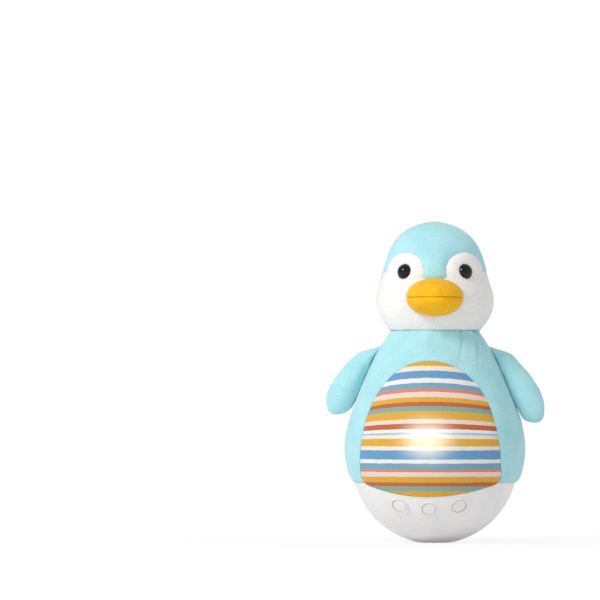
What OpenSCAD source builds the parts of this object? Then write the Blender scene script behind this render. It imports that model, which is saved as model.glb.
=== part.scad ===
// Plush penguin tumbler: a weighted round base with buttons, light and sound,
// under a stuffed body, head and wings. The front faces -Y, up is +Z, and the
// origin is the centre of the flat foot. Left and right are the toy's own.

/* [Base] */
// Radius of the round base
base_r = 66; // [60:1:72]
// Wall of the base
base_wall = 2.4; // [2:0.1:3.2]
// Radius of the small flat foot under the base
foot_r = 13; // [9:0.5:16]
// Height of the floor inside the base
floor_z = 2.4; // [1.8:0.1:3.5]
// Drop of the rim, where the deck closes the base, below the middle of its ball
rim_drop = 2.7; // [0.7:0.1:5.7]
// Thickness of the deck
deck_t = 2.6; // [2:0.1:3.5]
// Depth of the deck's lip inside the base
lip_depth = 3; // [2:0.5:4]
// Thickness of the deck's lip
lip_t = 1.8; // [1.2:0.1:2.4]
// Top of the counterweight
weight_top_z = 15.5; // [12:0.5:16]
// Flat at the back of the counterweight, which leaves room for the battery tub
weight_flat_y = 26; // [22:1:30]

/* [Body] */
// Height of the jacket's hem on the base
hem_z = 48; // [46:0.5:51]
// Lowest point of the tummy panel's hem
panel_hem_z = 37.3; // [36.5:0.1:41]
// Height of the widest part of the belly
belly_z = 67; // [65:0.5:69]
// Radius of the belly
belly_r = 72.4; // [71:0.2:76]
// Height of the flank
flank_z = 92; // [88:1:98]
// Radius of the flank
flank_r = 70; // [68:0.5:72]
// Height of the chest
chest_z = 127; // [122:1:132]
// Radius of the chest
chest_r = 57.5; // [55:0.5:60]
// Height of the shoulder
shoulder_z = 155; // [152:1:158]
// Radius of the shoulder
shoulder_r = 45.5; // [43:0.5:48]
// Height of the neck seam
neck_z = 169; // [166:0.5:172]
// Radius of the neck seam
neck_r = 36.2; // [34:0.2:38]

/* [Head] */
// Height of the jowl above the neck
jowl_z = 177; // [175:0.5:179]
// Radius of the jowl
jowl_r = 42.4; // [41:0.2:44]
// Height of the cheeks, the widest part of the head
cheek_z = 192; // [188:0.5:195]
// Radius of the cheeks
cheek_r = 48; // [46:0.5:50]
// Height of the brow
brow_z = 213; // [209:1:217]
// Radius of the brow
brow_r = 42.8; // [41:0.2:44.6]
// Height of the temple
temple_z = 234; // [230:1:237]
// Radius of the temple
temple_r = 36.8; // [35:0.2:38]
// Height of the top of the head
crown_z = 256.8; // [252:0.4:261]
// Turn of the head to its left
head_turn = 5; // [0:1:12]

/* [Face] */
// Distance of each eye from the middle of the face
eye_x = 24.4; // [22:0.2:27]
// Height of the eyes
eye_z = 215.6; // [212:0.4:219]
// Diameter of each eye
eye_d = 12.4; // [11:0.2:14]
// Height of each eye's dome
eye_h = 4.2; // [3:0.2:5.5]
// Diameter of the eye's shank
shank_d = 3.2; // [2.4:0.2:4]
// Diameter of the washer that locks the eye
washer_d = 12; // [10:0.5:13]
// Thickness of the washer
washer_t = 1.2; // [1:0.1:1.6]
// Distance of each white eye lobe from the middle of the face
lobe_x = 24.2; // [21.5:0.1:25]
// Height of the centre of each white eye lobe
lobe_z = 216.6; // [213:0.1:218]
// Radius of each white eye lobe
lobe_r = 15; // [14.5:0.1:17.5]
// Angle at which the lobe runs into the cheek seam
lobe_turn = 30; // [24:1:36]
// Height of the peak of the crown between the lobes
peak_z = 207; // [204:0.5:209]
// Depth of the face panel behind the middle of the head
face_back = 5; // [2:1:8]
// Height of the seam of the beak
beak_z = 194.8; // [191:0.2:198]
// Width of the beak
beak_w = 46; // [40:1:50]
// Height of the beak
beak_h = 31; // [27:0.5:34]
// Length of the beak in front of the face
beak_l = 24; // [18:1:28]

/* [Tummy panel] */
// Width of the panel
panel_w = 115; // [106:1:120]
// Height of the top of the panel
panel_top_z = 144.5; // [138:0.5:150]
// Height where the panel is widest
panel_wide_z = 60; // [56:1:66]
// Radius of the panel's curved hem
panel_hem_r = 151; // [140:1:170]

/* [Wings] */
// Distance of the shoulder seam's hinge line from the middle
wing_x = 48.6; // [48:0.1:50]
// Height of the hinge line
wing_z = 154.5; // [153:0.5:156]
// Length of each wing
wing_l = 66; // [58:1:72]
// Width of each wing, seen from the front, before it tapers
wing_w = 33; // [28:0.5:36]
// Thickness of each wing
wing_t = 25; // [20:0.5:28]
// Angle of the left wing from straight down
wing_hang = 31; // [30:1:38]
// Further angle of the right wing, which hangs a little higher
wing_right_lift = 5; // [0:1:8]

/* [Buttons] */
// Distance from one button to the next
button_pitch = 23.6; // [21:0.2:25]
// Diameter of each button
button_d = 10.4; // [9:0.2:11.4]
// Diameter of the raised ring around each button
ring_d = 14.4; // [13.6:0.2:16]
// Width of the raised ring
ring_w = 1.4; // [1:0.1:1.6]
// Height of the ring above the base
ring_h = 0.9; // [0.5:0.1:1.4]
// Height of the button above the base
button_proud = 0.5; // [0.2:0.1:0.8]
// Tilt of the buttons below level
button_tilt = 34; // [30:1:37]
// Diameter of the flange that keeps each button in
flange_d = 13; // [12:0.2:14]
// Thickness of the flange
flange_t = 1.2; // [1:0.1:1.6]
// Diameter of each button's stem
stem_d = 5; // [4:0.2:6]
// Depth of the button board inside the surface of the base
board_depth = 20; // [18:0.5:22]
// Width of the button board
button_board_w = 66; // [62:1:70]
// Height of the button board
button_board_h = 17; // [15:0.5:19]
// Thickness of every circuit board
pcb_t = 1.6; // [1.2:0.2:2]
// Height of each rubber dome
rubber_h = 3; // [2.4:0.2:3.6]
// Base diameter of each rubber dome
rubber_d = 8.4; // [7:0.2:9.4]

/* [Battery] */
// Diameter of each cell
cell_d = 10.5; // [10:0.1:11]
// Length of each cell with its terminal
cell_l = 44.5; // [43:0.1:45.5]
// Diameter of the cell's terminal
terminal_d = 3.8; // [3:0.1:4.2]
// Length of the cell's terminal
terminal_l = 1; // [0.8:0.1:1.4]
// Distance from one cell to the next
cell_pitch = 11.4; // [11.2:0.1:11.8]
// Room at each end of the cells for the contacts
contact_room = 4.2; // [3.4:0.1:4.8]
// Thickness of the contact strips
contact_t = 0.5; // [0.3:0.1:0.8]
// Depth of the tub's floor inside the surface of the base
tub_depth = 25; // [23.5:0.5:26.5]
// Wall of the tub
tub_wall = 1.6; // [1.2:0.1:2]
// Width of the flange around the tub
tub_flange = 4; // [3.4:0.1:4.6]
// Thickness of that flange
tub_flange_t = 2; // [1.6:0.1:2.4]
// Tilt of the battery door below level
door_tilt = 36; // [35:1:37]
// Ledge on which the door rests
door_ledge = 1.6; // [1.2:0.1:2]
// Radius of the tab that takes the door's screw
tab_r = 5; // [4.4:0.1:5.4]
// Distance of the door's screw from the middle
tab_x = 32; // [31:0.5:33]

/* [Switch] */
// Place of the power switch around the base, from the front
switch_turn = 128; // [124:1:132]
// Tilt of the switch below level
switch_tilt = 30; // [27:1:33]
// Width of the knob
knob_w = 4; // [3:0.2:5]
// Length of the knob
knob_l = 6; // [5:0.2:7]
// Travel of the knob
knob_travel = 4; // [3:0.5:5]
// Width of the switch's body
switch_w = 9; // [8:0.5:10]
// Length of the switch's body
switch_l = 19; // [18:0.5:21]
// Depth of the switch's body
switch_h = 5; // [4:0.5:6]

/* [Sound and light] */
// Diameter of the speaker
speaker_d = 40; // [36:1:42]
// Thickness of the speaker's rim
speaker_rim = 1.6; // [1.2:0.1:2]
// Depth of the speaker's frame
speaker_depth = 10; // [8:0.5:12]
// Diameter of the speaker's magnet
magnet_d = 22; // [18:1:24]
// Height of the speaker's magnet
magnet_h = 6; // [5:0.5:8]
// Distance of the speaker to the right of the middle
speaker_x = 22.5; // [22:0.5:24]
// Length of the main board
main_board_l = 42; // [38:1:44]
// Width of the main board
main_board_w = 34; // [30:1:34]
// Distance of the main board to the left of the middle
main_board_x = 27; // [26:0.5:27.5]
// Drop of the main board under the deck
main_board_drop = 5; // [4:0.5:6]
// Distance of the light dome inside the surface of the base
dome_inset = 16; // [16:1:18]
// Wall of the light dome
dome_wall = 1.8; // [1.4:0.1:2.2]
// Height of the lamps above the deck
lamp_h = 18; // [15:1:21]
// Diameter of each lamp
lamp_d = 5; // [4:0.2:5.6]
// Distance from one lamp to the next
lamp_pitch = 8; // [7:0.2:9]
// Distance of the lamp stand in front of the middle
stand_y = 28; // [24:1:30]

/* [Fabric] */
// Thickness of the plush with its nap
plush_t = 1.8; // [1.4:0.1:2.2]
// Thickness of the body's filling layer
filling_t = 4; // [3:0.5:4.4]
// Thickness of the head's filling layer
head_filling_t = 3.5; // [2.5:0.5:5]
// Height of the bottom of the hem elastic
elastic_z = 56; // [55:0.5:57]
// Width of the hem elastic
elastic_w = 4; // [3:0.5:4.5]
// Thickness of the hem elastic
elastic_t = 0.9; // [0.6:0.1:1]

/* [Screws] */
// Diameter of the screws' threads
screw_d = 2.6; // [2.2:0.1:3]
// Diameter of the screws' heads
head_d = 5; // [4.4:0.2:5.6]
// Height of the screws' heads
head_h = 1.8; // [1.4:0.1:2.2]
// Length of the screws' threads
screw_l = 8; // [7:0.5:9]
// Diameter of the posts that take the screws
post_d = 7; // [6.2:0.2:7.6]

/* [Clearances] */
// Gap between a sliding button or knob and its hole
slide_gap = 0.2; // [0.1:0.05:0.3]
// Gap between pieces that are sewn or laid together
seam_gap = 0.2; // [0.1:0.05:0.3]
// Gap between a soft piece and what it rests on
rest_gap = 0.4; // [0.3:0.05:0.6]
// Gap between a thread and its hole
thread_gap = 0.1; // [0.05:0.05:0.15]
// Gap around the door in its opening
door_gap = 0.3; // [0.2:0.05:0.4]

/* [Hidden] */
$fn = 64;
// Longer than any piece, for cuts that go right through
far = 400;
// Overlap of shapes that are joined into one piece
bite = 0.4;
// Step for the slope of an outline
fine = 0.01;
// Run of a cut past the face it opens
over = 1;

// Heights and radii of the base
base_cz = sqrt(base_r * base_r - foot_r * foot_r);
base_in = base_r - base_wall;
rim_z = base_cz - rim_drop;
board_dist = base_r - board_depth;
tub_dist = base_r - tub_depth;
dome_r = base_r - dome_inset;
deck_top = rim_z + deck_t;
post_drop = main_board_drop;
board_z = rim_z - post_drop;
pilot_d = screw_d + 2 * thread_gap;
pass_d = screw_d + 4 * thread_gap;

// Posts under the deck: base, main board, speaker and light dome
screw_margin = 2.2;
board_edge = 0.5;
ear_margin = 1.5;
deck_post_r = dome_r + head_d / 2 + screw_margin;
deck_post_turns = [19, 161, 199, 341];
deck_posts = [for (a = deck_post_turns) deck_post_r * [cos(a), sin(a)]];
main_board_y = -6;
board_post_inset = post_d / 2 + board_edge;
main_board_posts = [for (i = [-1, 1], j = [-1, 1]) [
    main_board_x + i * (main_board_w / 2 - board_post_inset),
    main_board_y + j * (main_board_l / 2 - board_post_inset)]];
speaker_y = -4;
speaker_at = [-speaker_x, speaker_y];
speaker_post_r = speaker_d / 2 + post_d / 2;
speaker_posts = [for (a = [90, 210, 330]) speaker_at + speaker_post_r * [cos(a), sin(a)]];
ear_r = head_d / 2 + ear_margin;
ear_turn_r = dome_r + ear_r - over;
dome_posts = [for (a = [30, 150, 270]) ear_turn_r * [cos(a), sin(a)]];
weight_post_h = 8;
weight_post_x = 22;
weight_post_y = -8;
weight_posts = [[-weight_post_x, weight_post_y], [weight_post_x, weight_post_y]];

// Buttons
button_xs = [button_pitch, 0, -button_pitch];
board_posts = [-button_pitch / 2, button_pitch / 2];
stem_end = board_dist + rubber_h + thread_gap;

// Battery tub and door, seen along the door's own way out
tub_in_l = cell_l + 2 * contact_room;
tub_in_w = 2 * cell_pitch + cell_d + 4 * slide_gap;
boss_wall = 1.2;
door_boss_d = head_d + 2 * boss_wall;
tab_seat = sqrt(base_in * base_in - pow(tab_x + door_boss_d / 2, 2)) - boss_wall;

// Switch
switch_seat = sqrt(base_in * base_in - pow(switch_w / 2, 2) - pow(switch_l / 2, 2)) - seam_gap;
tongue_w = 1.6;
tongue_h = 2;

// Outlines of the body and head as height and squared radius
cover = plush_t + seam_gap;
head_z = neck_z + seam_gap;
poll_drop = 10.8;
poll_step = 8.2;
poll_z = crown_z - poll_drop;
poll_r = temple_r - poll_step;
knit_t = 1.2;
hem_low_z = panel_hem_z - over;

function base_at(z) = sqrt(base_r * base_r - pow(base_cz - z, 2));
function square_of(v) = v * v;
// Least radius of the jacket over the base with its elastic, and over the light dome
elastic_room = elastic_t + seam_gap + base_at(elastic_z + elastic_w) - base_at(elastic_z);
fittings_z = deck_top + dome_wall + head_h;
function elastic_share(z) = min(1, max(0, (z - hem_z) / (elastic_z - hem_z)));
function base_need(z) =
    (z < base_cz ? base_at(z) : base_r - max(0, z - fittings_z)) + cover + elastic_room * elastic_share(z);
function dome_need(z) =
    z < deck_top + dome_r ? sqrt(dome_r * dome_r - square_of(max(z - deck_top, 0))) + filling_t + 2 * cover : 0;

body_line = [
    [hem_low_z, square_of(base_at(hem_low_z) + cover)],
    [hem_z, square_of(base_at(hem_z) + cover)],
    [belly_z, square_of(belly_r)],
    [flank_z, square_of(flank_r)],
    [chest_z, square_of(chest_r)],
    [shoulder_z, square_of(shoulder_r)],
    [neck_z, square_of(neck_r)],
];
head_line = [
    [head_z, square_of(neck_r)],
    [jowl_z, square_of(jowl_r)],
    [cheek_z, square_of(cheek_r)],
    [brow_z, square_of(brow_r)],
    [temple_z, square_of(temple_r)],
    [poll_z, square_of(poll_r)],
    [crown_z, 0],
];

// Smooth curve through the points of an outline
function slope_at(line, i) =
    let (a = line[max(i - 1, 0)], b = line[min(i + 1, len(line) - 1)]) (b[1] - a[1]) / (b[0] - a[0]);
function along(line, z, i = 0) =
    i < len(line) - 2 && z > line[i + 1][0] ? along(line, z, i + 1) : between(line, z, i);
function between(line, z, i) =
    let (h = line[i + 1][0] - line[i][0], t = (z - line[i][0]) / h)
    (2 * t * t * t - 3 * t * t + 1) * line[i][1] + (t * t * t - 2 * t * t + t) * h * slope_at(line, i)
    + (3 * t * t - 2 * t * t * t) * line[i + 1][1] + (t * t * t - t * t) * h * slope_at(line, i + 1);
body_q = function (z) max(along(body_line, z), square_of(max(base_need(z), dome_need(z))));
head_q = function (z) max(along(head_line, z), 0);
function head_r(z) = sqrt(head_q(z));

// Point of an outline, moved in along its normal
function inset(q, z, depth) =
    let (d = (q(z + fine) - q(z - fine)) / (4 * fine), r = sqrt(q(z)), n = norm([r, d]))
    [r - depth * r / n, z + depth * d / n];
function evenly(from, to, count) = [for (i = [0:count]) from + (to - from) * i / count];
function rounding(from, to, count) = [for (i = [0:count]) from + (to - from) * sin(90 * i / count)];
function reversed(list) = [for (i = [len(list) - 1:-1:0]) list[i]];
function middle(ring) = [for (k = [0:2]) [for (p = ring) p[k]] * [for (p = ring) 1 / len(ring)]];

// Shapes that several pieces share
module ball(r) {
    translate([0, 0, base_cz]) sphere(r, $fn = 128);
}
module slab(from, to) {
    translate([-far / 2, -far / 2, from]) cube([far, far, to - from]);
}
module at_base(turn, tilt) {
    translate([0, 0, base_cz]) rotate([90 + tilt, 0, turn]) children();
}
module at_points(points, z) {
    for (p = points) translate([p[0], p[1], z]) children();
}
module skin(q, heights, outer, inner) {
    rotate_extrude($fn = 96) polygon(concat(
        [for (z = heights) inset(q, z, outer)],
        [for (z = reversed(heights)) inset(q, z, inner)]));
}
module pan_screw(length) {
    cylinder(d = head_d, h = head_h);
    translate([0, 0, -length]) cylinder(d = screw_d, h = length + bite);
}
module loft(rings) {
    m = len(rings[0]);
    n = len(rings);
    points = concat([for (ring = rings, p = ring) p], [middle(rings[0]), middle(rings[n - 1])]);
    sides = [for (i = [0:n - 2], j = [0:m - 1], half = [0, 1])
        let (a = i * m + j, b = i * m + (j + 1) % m)
        half == 0 ? [a, b, b + m] : [a, b + m, a + m]];
    caps = [for (j = [0:m - 1], end = [0, 1])
        let (a = j, b = (j + 1) % m, last = (n - 1) * m)
        end == 0 ? [b, a, n * m] : [last + a, last + b, n * m + 1]];
    polyhedron(points, concat(sides, caps));
}

// Base

thread_end = 1.2;
under_deck_thread = post_drop + deck_t - thread_end;
board_screw_depth = 5;
weight_thread = 4;
switch_rib_t = 2;

module deck_screw_holes(d) {
    at_points(deck_posts, rim_z - screw_l - bite) cylinder(d = d, h = screw_l + deck_t + over);
}
module button_rings() {
    at_base(0, button_tilt) for (x = button_xs) intersection() {
        translate([x, 0, board_dist]) difference() {
            cylinder(d = ring_d, h = base_r);
            translate([0, 0, -over]) cylinder(d = ring_d - 2 * ring_w, h = base_r + 2 * over);
        }
        difference() {
            sphere(base_r + ring_h, $fn = 128);
            sphere(base_r - bite, $fn = 128);
        }
    }
}
module base_posts() {
    intersection() {
        union() {
            at_points(deck_posts, floor_z) cylinder(d = post_d, h = rim_z - floor_z);
            at_points(weight_posts, floor_z) cylinder(d = post_d, h = weight_post_h);
            at_base(0, button_tilt) for (x = board_posts) translate([x, 0, board_dist])
                cylinder(d = post_d - 1, h = base_r);
            at_base(switch_turn, switch_tilt) for (s = [-1, 1])
                translate([s * (switch_w / 2 + slide_gap + switch_rib_t / 2), 0, switch_seat])
                    cube([switch_rib_t, switch_l / 2, 2 * switch_h], center = true);
        }
        ball(base_r - bite);
    }
}
module base_bowl() {
    color("#ECEAEA") difference() {
        union() {
            intersection() {
                difference() {
                    ball(base_r);
                    intersection() {
                        ball(base_in);
                        slab(floor_z, far);
                    }
                }
                slab(0, rim_z);
            }
            base_posts();
            button_rings();
        }
        deck_screw_holes(pilot_d);
        at_points(weight_posts, floor_z + weight_post_h - weight_thread - bite)
            cylinder(d = pilot_d, h = weight_thread + over);
        at_base(0, button_tilt) {
            for (x = button_xs) translate([x, 0, board_dist])
                cylinder(d = button_d + 2 * slide_gap, h = base_r);
            for (x = board_posts) translate([x, 0, board_dist - over])
                cylinder(d = pilot_d, h = board_screw_depth + bite + over);
        }
        at_base(180, door_tilt) translate([0, 0, base_r / 2]) linear_extrude(base_r) door_outline(door_gap);
        at_base(switch_turn, switch_tilt) translate([0, 0, base_r])
            cube([knob_w + 2 * slide_gap, knob_l + knob_travel + 2 * slide_gap, 4 * base_wall], center = true);
    }
}
module deck() {
    lead_hole_d = 5;
    lead_hole_y = 16;
    lip_r = sqrt(base_in * base_in - pow(base_cz - rim_z + lip_depth, 2)) - slide_gap;
    color("#DCDCDC") difference() {
        union() {
            intersection() {
                ball(base_r);
                slab(rim_z, deck_top);
            }
            translate([0, 0, rim_z - lip_depth]) difference() {
                cylinder(r = lip_r, h = lip_depth + bite);
                translate([0, 0, -over]) cylinder(r = lip_r - lip_t, h = lip_depth + over);
            }
            at_points(concat(main_board_posts, speaker_posts, dome_posts), board_z)
                cylinder(d = post_d, h = post_drop + bite);
        }
        deck_screw_holes(pass_d);
        at_points(concat(main_board_posts, speaker_posts), board_z - over)
            cylinder(d = pilot_d, h = under_deck_thread + bite + over);
        at_points(dome_posts, deck_top - under_deck_thread - bite)
            cylinder(d = pilot_d, h = under_deck_thread + over);
        sound_holes();
        translate([0, -lead_hole_y, rim_z - over]) cylinder(d = lead_hole_d, h = deck_t + 2 * over);
    }
}
module sound_holes() {
    hole_d = 3;
    ring_step = 5.5;
    translate([speaker_at[0], speaker_at[1], rim_z - over]) {
        cylinder(d = hole_d, h = deck_t + 2 * over);
        for (k = [1, 2], i = [1:6 * k]) rotate(i * 60 / k) translate([k * ring_step, 0, 0])
            cylinder(d = hole_d, h = deck_t + 2 * over);
    }
}
module deck_screws() {
    color("#A8A8AC") at_points(deck_posts, deck_top) pan_screw(deck_t + screw_l);
}
module counterweight() {
    post_top = floor_z + weight_post_h;
    color("#5A5A5E") difference() {
        intersection() {
            ball(base_in - rest_gap);
            slab(floor_z, weight_top_z);
            translate([0, weight_flat_y - far / 2, 0]) cube(far, center = true);
        }
        at_points(weight_posts, -over) cylinder(d = post_d + 2 * rest_gap, h = post_top + seam_gap + over);
        at_points(weight_posts, 0) cylinder(d = pass_d, h = weight_top_z + over);
    }
}
module counterweight_screws() {
    color("#A8A8AC") at_points(weight_posts, weight_top_z)
        pan_screw(weight_top_z - floor_z - weight_post_h + weight_thread);
}

// Buttons

function flange_seat(x) = sqrt(pow(base_in - rest_gap, 2) - pow(abs(x) + flange_d / 2, 2)) - flange_t;

module button(x) {
    color("#F2F0F0") at_base(0, button_tilt) {
        intersection() {
            translate([x, 0, flange_seat(x)]) cylinder(d = button_d, h = base_r);
            sphere(base_r + button_proud, $fn = 128);
        }
        intersection() {
            translate([x, 0, flange_seat(x)]) cylinder(d = flange_d, h = base_r);
            sphere(base_in - rest_gap, $fn = 128);
        }
        translate([x, 0, stem_end]) cylinder(d = stem_d, h = flange_seat(x) - stem_end + bite);
    }
}
module button_left() {
    button(button_xs[0]);
}
module button_middle() {
    button(button_xs[1]);
}
module button_right() {
    button(button_xs[2]);
}
module rubber_dome(x) {
    wall = 0.8;
    foot = 0.6;
    color("#8C8F94") at_base(0, button_tilt) translate([x, 0, board_dist]) rotate_extrude() polygon([
        [rubber_d / 2 - wall, 0], [rubber_d / 2, 0], [rubber_d / 2, foot], [stem_d / 2, rubber_h],
        [0, rubber_h], [0, rubber_h - wall], [stem_d / 2 - wall / 2, rubber_h - wall]]);
}
module rubber_dome_left() {
    rubber_dome(button_xs[0]);
}
module rubber_dome_middle() {
    rubber_dome(button_xs[1]);
}
module rubber_dome_right() {
    rubber_dome(button_xs[2]);
}
module button_board() {
    color("#2E7D4F") at_base(0, button_tilt) translate([0, 0, board_dist - pcb_t]) difference() {
        translate([-button_board_w / 2, -button_board_h / 2, 0])
            cube([button_board_w, button_board_h, pcb_t]);
        for (x = board_posts) translate([x, 0, -over]) cylinder(d = pass_d, h = pcb_t + 2 * over);
    }
}
module button_board_screws() {
    color("#A8A8AC") at_base(0, button_tilt) for (x = board_posts) translate([x, 0, board_dist - pcb_t])
        rotate([180, 0, 0]) pan_screw(pcb_t + board_screw_depth);
}

// Battery

tab_floor = 2;
head_seat = tab_seat + tab_floor;

module door_outline(gap) {
    square([tub_in_l + 2 * (door_ledge + gap), tub_in_w + 2 * (door_ledge + gap)], center = true);
    translate([tab_x, 0]) circle(tab_r + gap);
}
module shell(outer, inner) {
    difference() {
        sphere(outer, $fn = 128);
        sphere(inner, $fn = 128);
    }
}
module battery_tub() {
    post_z = tub_dist + tub_flange;
    color("#D8D8D8") at_base(180, door_tilt) difference() {
        union() {
            intersection() {
                translate([-tub_in_l / 2 - tub_wall, -tub_in_w / 2 - tub_wall, tub_dist - tub_wall])
                    cube([tub_in_l + 2 * tub_wall, tub_in_w + 2 * tub_wall, base_r]);
                sphere(base_in - seam_gap, $fn = 128);
            }
            intersection() {
                translate([0, 0, base_r / 2]) linear_extrude(base_r) door_outline(tub_flange - door_ledge);
                shell(base_in - seam_gap, base_in - seam_gap - tub_flange_t);
            }
            translate([tab_x, 0, post_z]) cylinder(d = post_d, h = tab_seat - post_z);
            translate([tub_in_l / 2, -screw_d, post_z])
                cube([tab_x - tub_in_l / 2, 2 * screw_d, tab_seat - post_z]);
        }
        translate([-tub_in_l / 2, -tub_in_w / 2, tub_dist]) cube([tub_in_l, tub_in_w, base_r]);
        translate([tab_x, 0, tab_seat]) cylinder(d = door_boss_d + 2 * door_gap, h = base_r);
        translate([tab_x, 0, tab_seat - board_screw_depth - bite])
            cylinder(d = pilot_d, h = board_screw_depth + over);
    }
}
module battery_cells() {
    color("#B9A25A") at_base(180, door_tilt) for (i = [-1:1])
        translate([0, i * cell_pitch, tub_dist + slide_gap + cell_d / 2]) rotate([0, i == 0 ? -90 : 90, 0]) {
            translate([0, 0, -cell_l / 2]) cylinder(d = cell_d, h = cell_l - terminal_l);
            translate([0, 0, cell_l / 2 - terminal_l - bite]) cylinder(d = terminal_d, h = terminal_l + bite);
        }
}
module contacts(side) {
    strip_edge = 1;
    strip_w = 2 * (cell_pitch - strip_edge) + cell_d;
    reach = contact_room - contact_t - 2 * seam_gap;
    color("#C9C9CE") at_base(180, door_tilt)
        translate([side * (tub_in_l / 2 - seam_gap / 2), 0, tub_dist + slide_gap]) {
            translate([side > 0 ? -contact_t : 0, -strip_w / 2, strip_edge])
                cube([contact_t, strip_w, cell_d - 2 * strip_edge]);
            for (i = [-1:1]) translate([-side * (contact_t - thread_gap), i * cell_pitch, cell_d / 2])
                rotate([0, -90 * side, 0]) cylinder(d1 = cell_d / 2, d2 = terminal_d, h = reach + thread_gap);
        }
}
module contacts_left() {
    contacts(-1);
}
module contacts_right() {
    contacts(1);
}
module battery_door() {
    color("#E6E4E4") at_base(180, door_tilt) difference() {
        union() {
            intersection() {
                translate([0, 0, base_r / 2]) linear_extrude(base_r) door_outline(0);
                shell(base_r, base_in);
            }
            intersection() {
                translate([tab_x, 0, tab_seat + seam_gap]) cylinder(d = door_boss_d, h = base_r);
                sphere(base_r, $fn = 128);
            }
        }
        translate([tab_x, 0, head_seat]) cylinder(d = head_d + 2 * slide_gap, h = base_r);
        translate([tab_x, 0, tab_seat]) cylinder(d = pass_d, h = base_r);
    }
}
module door_screw() {
    color("#A8A8AC") at_base(180, door_tilt) translate([tab_x, 0, head_seat])
        pan_screw(head_seat - tab_seat + board_screw_depth);
}

// Switch

module switch_body() {
    color("#3A3A3E") at_base(switch_turn, switch_tilt) difference() {
        translate([-switch_w / 2, -switch_l / 2, switch_seat - switch_h])
            cube([switch_w, switch_l, switch_h]);
        translate([0, 0, switch_seat]) cube([tongue_w + 2 * slide_gap,
            tongue_w + knob_travel + 2 * slide_gap, 2 * (tongue_h + slide_gap)], center = true);
    }
}
module switch_knob() {
    knob_proud = 1.2;
    color("#4A4A50") at_base(switch_turn, switch_tilt) translate([0, -knob_travel / 2, 0]) {
        intersection() {
            translate([-knob_w / 2, -knob_l / 2, switch_seat + slide_gap]) cube([knob_w, knob_l, base_r]);
            translate([0, knob_travel / 2, 0]) sphere(base_r + knob_proud, $fn = 128);
        }
        translate([-tongue_w / 2, -tongue_w / 2, switch_seat - tongue_h])
            cube([tongue_w, tongue_w, tongue_h + slide_gap + bite]);
    }
}

// Sound and light

module main_board() {
    color("#2E7D4F") difference() {
        translate([main_board_x - main_board_w / 2, main_board_y - main_board_l / 2, board_z - pcb_t])
            cube([main_board_w, main_board_l, pcb_t]);
        at_points(main_board_posts, board_z - pcb_t - over) cylinder(d = pass_d, h = pcb_t + 2 * over);
    }
}
module main_board_parts() {
    chip_w = 10;
    chip_l = 12;
    chip_h = 1.8;
    can_d = 6;
    plug_w = 5;
    plug_l = 9;
    color("#26262A") translate([main_board_x, main_board_y, board_z - pcb_t]) mirror([0, 0, 1]) {
        translate([-chip_w / 2, -chip_l / 2, 0]) cube([chip_w, chip_l, chip_h]);
        for (s = [-1, 1]) translate([-chip_w, s * chip_l, 0]) cylinder(d = can_d, h = can_d);
        for (s = [-1, 1]) translate([plug_w, s * chip_l - plug_l / 2, 0]) cube([plug_w, plug_l, plug_w]);
    }
}
module main_board_screws() {
    color("#A8A8AC") at_points(main_board_posts, board_z - pcb_t) rotate([180, 0, 0])
        pan_screw(pcb_t + under_deck_thread);
}
module at_speaker() {
    translate([speaker_at[0], speaker_at[1], board_z]) children();
}
module speaker_frame() {
    rim_w = 2.5;
    ear_w = 2;
    window_in = 4;
    rim_in = speaker_d / 2 - rim_w;
    foot = speaker_rim + speaker_depth;
    sheet = 1.2;
    color("#6E7074") difference() {
        union() {
            at_speaker() rotate_extrude() polygon([
                [rim_in, 0], [speaker_d / 2, 0], [speaker_d / 2, -speaker_rim], [rim_in + sheet, -speaker_rim],
                [magnet_d / 2 + sheet, -foot], [0, -foot], [0, sheet - foot], [magnet_d / 2, sheet - foot],
                [rim_in, -speaker_rim]]);
            difference() {
                at_points(speaker_posts, board_z - speaker_rim)
                    cylinder(d = post_d + 2 * ear_w, h = speaker_rim);
                at_speaker() cylinder(r = speaker_d / 2 - over, h = 3 * speaker_rim, center = true);
            }
        }
        at_points(speaker_posts, board_z - speaker_rim - over)
            cylinder(d = pass_d, h = speaker_rim + 2 * over);
        at_speaker() for (a = [0:90:270]) rotate(a + 45)
            translate([speaker_d / 2 - window_in, 0, -speaker_rim - speaker_depth / 2])
                cube([speaker_d / 4, speaker_d / 3, speaker_depth / 2], center = true);
    }
}
module speaker_cone() {
    edge_in = 2.7;
    coil_drop = 3;
    cap_rise = 1.4;
    edge_r = speaker_d / 2 - edge_in;
    coil_r = 6;
    paper = 0.7;
    drop = speaker_depth - coil_drop;
    color("#2B2B2E") at_speaker() rotate_extrude() polygon([
        [edge_r, 0], [edge_r, -paper], [coil_r, -drop],
        [0, paper - drop + cap_rise], [0, 2 * paper - drop + cap_rise],
        [coil_r, paper - drop]]);
}
module speaker_magnet() {
    color("#4A4B50") at_speaker() translate([0, 0, -speaker_rim - speaker_depth - magnet_h])
        cylinder(d = magnet_d, h = magnet_h);
}
module speaker_screws() {
    color("#A8A8AC") at_points(speaker_posts, board_z - speaker_rim) rotate([180, 0, 0])
        pan_screw(speaker_rim + under_deck_thread);
}
module light_dome() {
    color("#F4F6F6", 0.6) translate([0, 0, deck_top]) difference() {
        intersection() {
            union() {
                sphere(dome_r, $fn = 128);
                at_points(dome_posts, 0) cylinder(r = ear_r, h = dome_wall);
            }
            slab(0, far);
        }
        sphere(dome_r - dome_wall, $fn = 128);
        at_points(dome_posts, -over) cylinder(d = pass_d, h = dome_wall + 2 * over);
        at_points(dome_posts, dome_wall) cylinder(d = head_d + 4 * slide_gap, h = head_h + over);
    }
}
module light_dome_screws() {
    color("#A8A8AC") at_points(dome_posts, deck_top + dome_wall) pan_screw(dome_wall + under_deck_thread);
}
stand_edge = 4;
stand_w = 2 * (lamp_pitch + stand_edge);
stand_t = 2.4;
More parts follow.
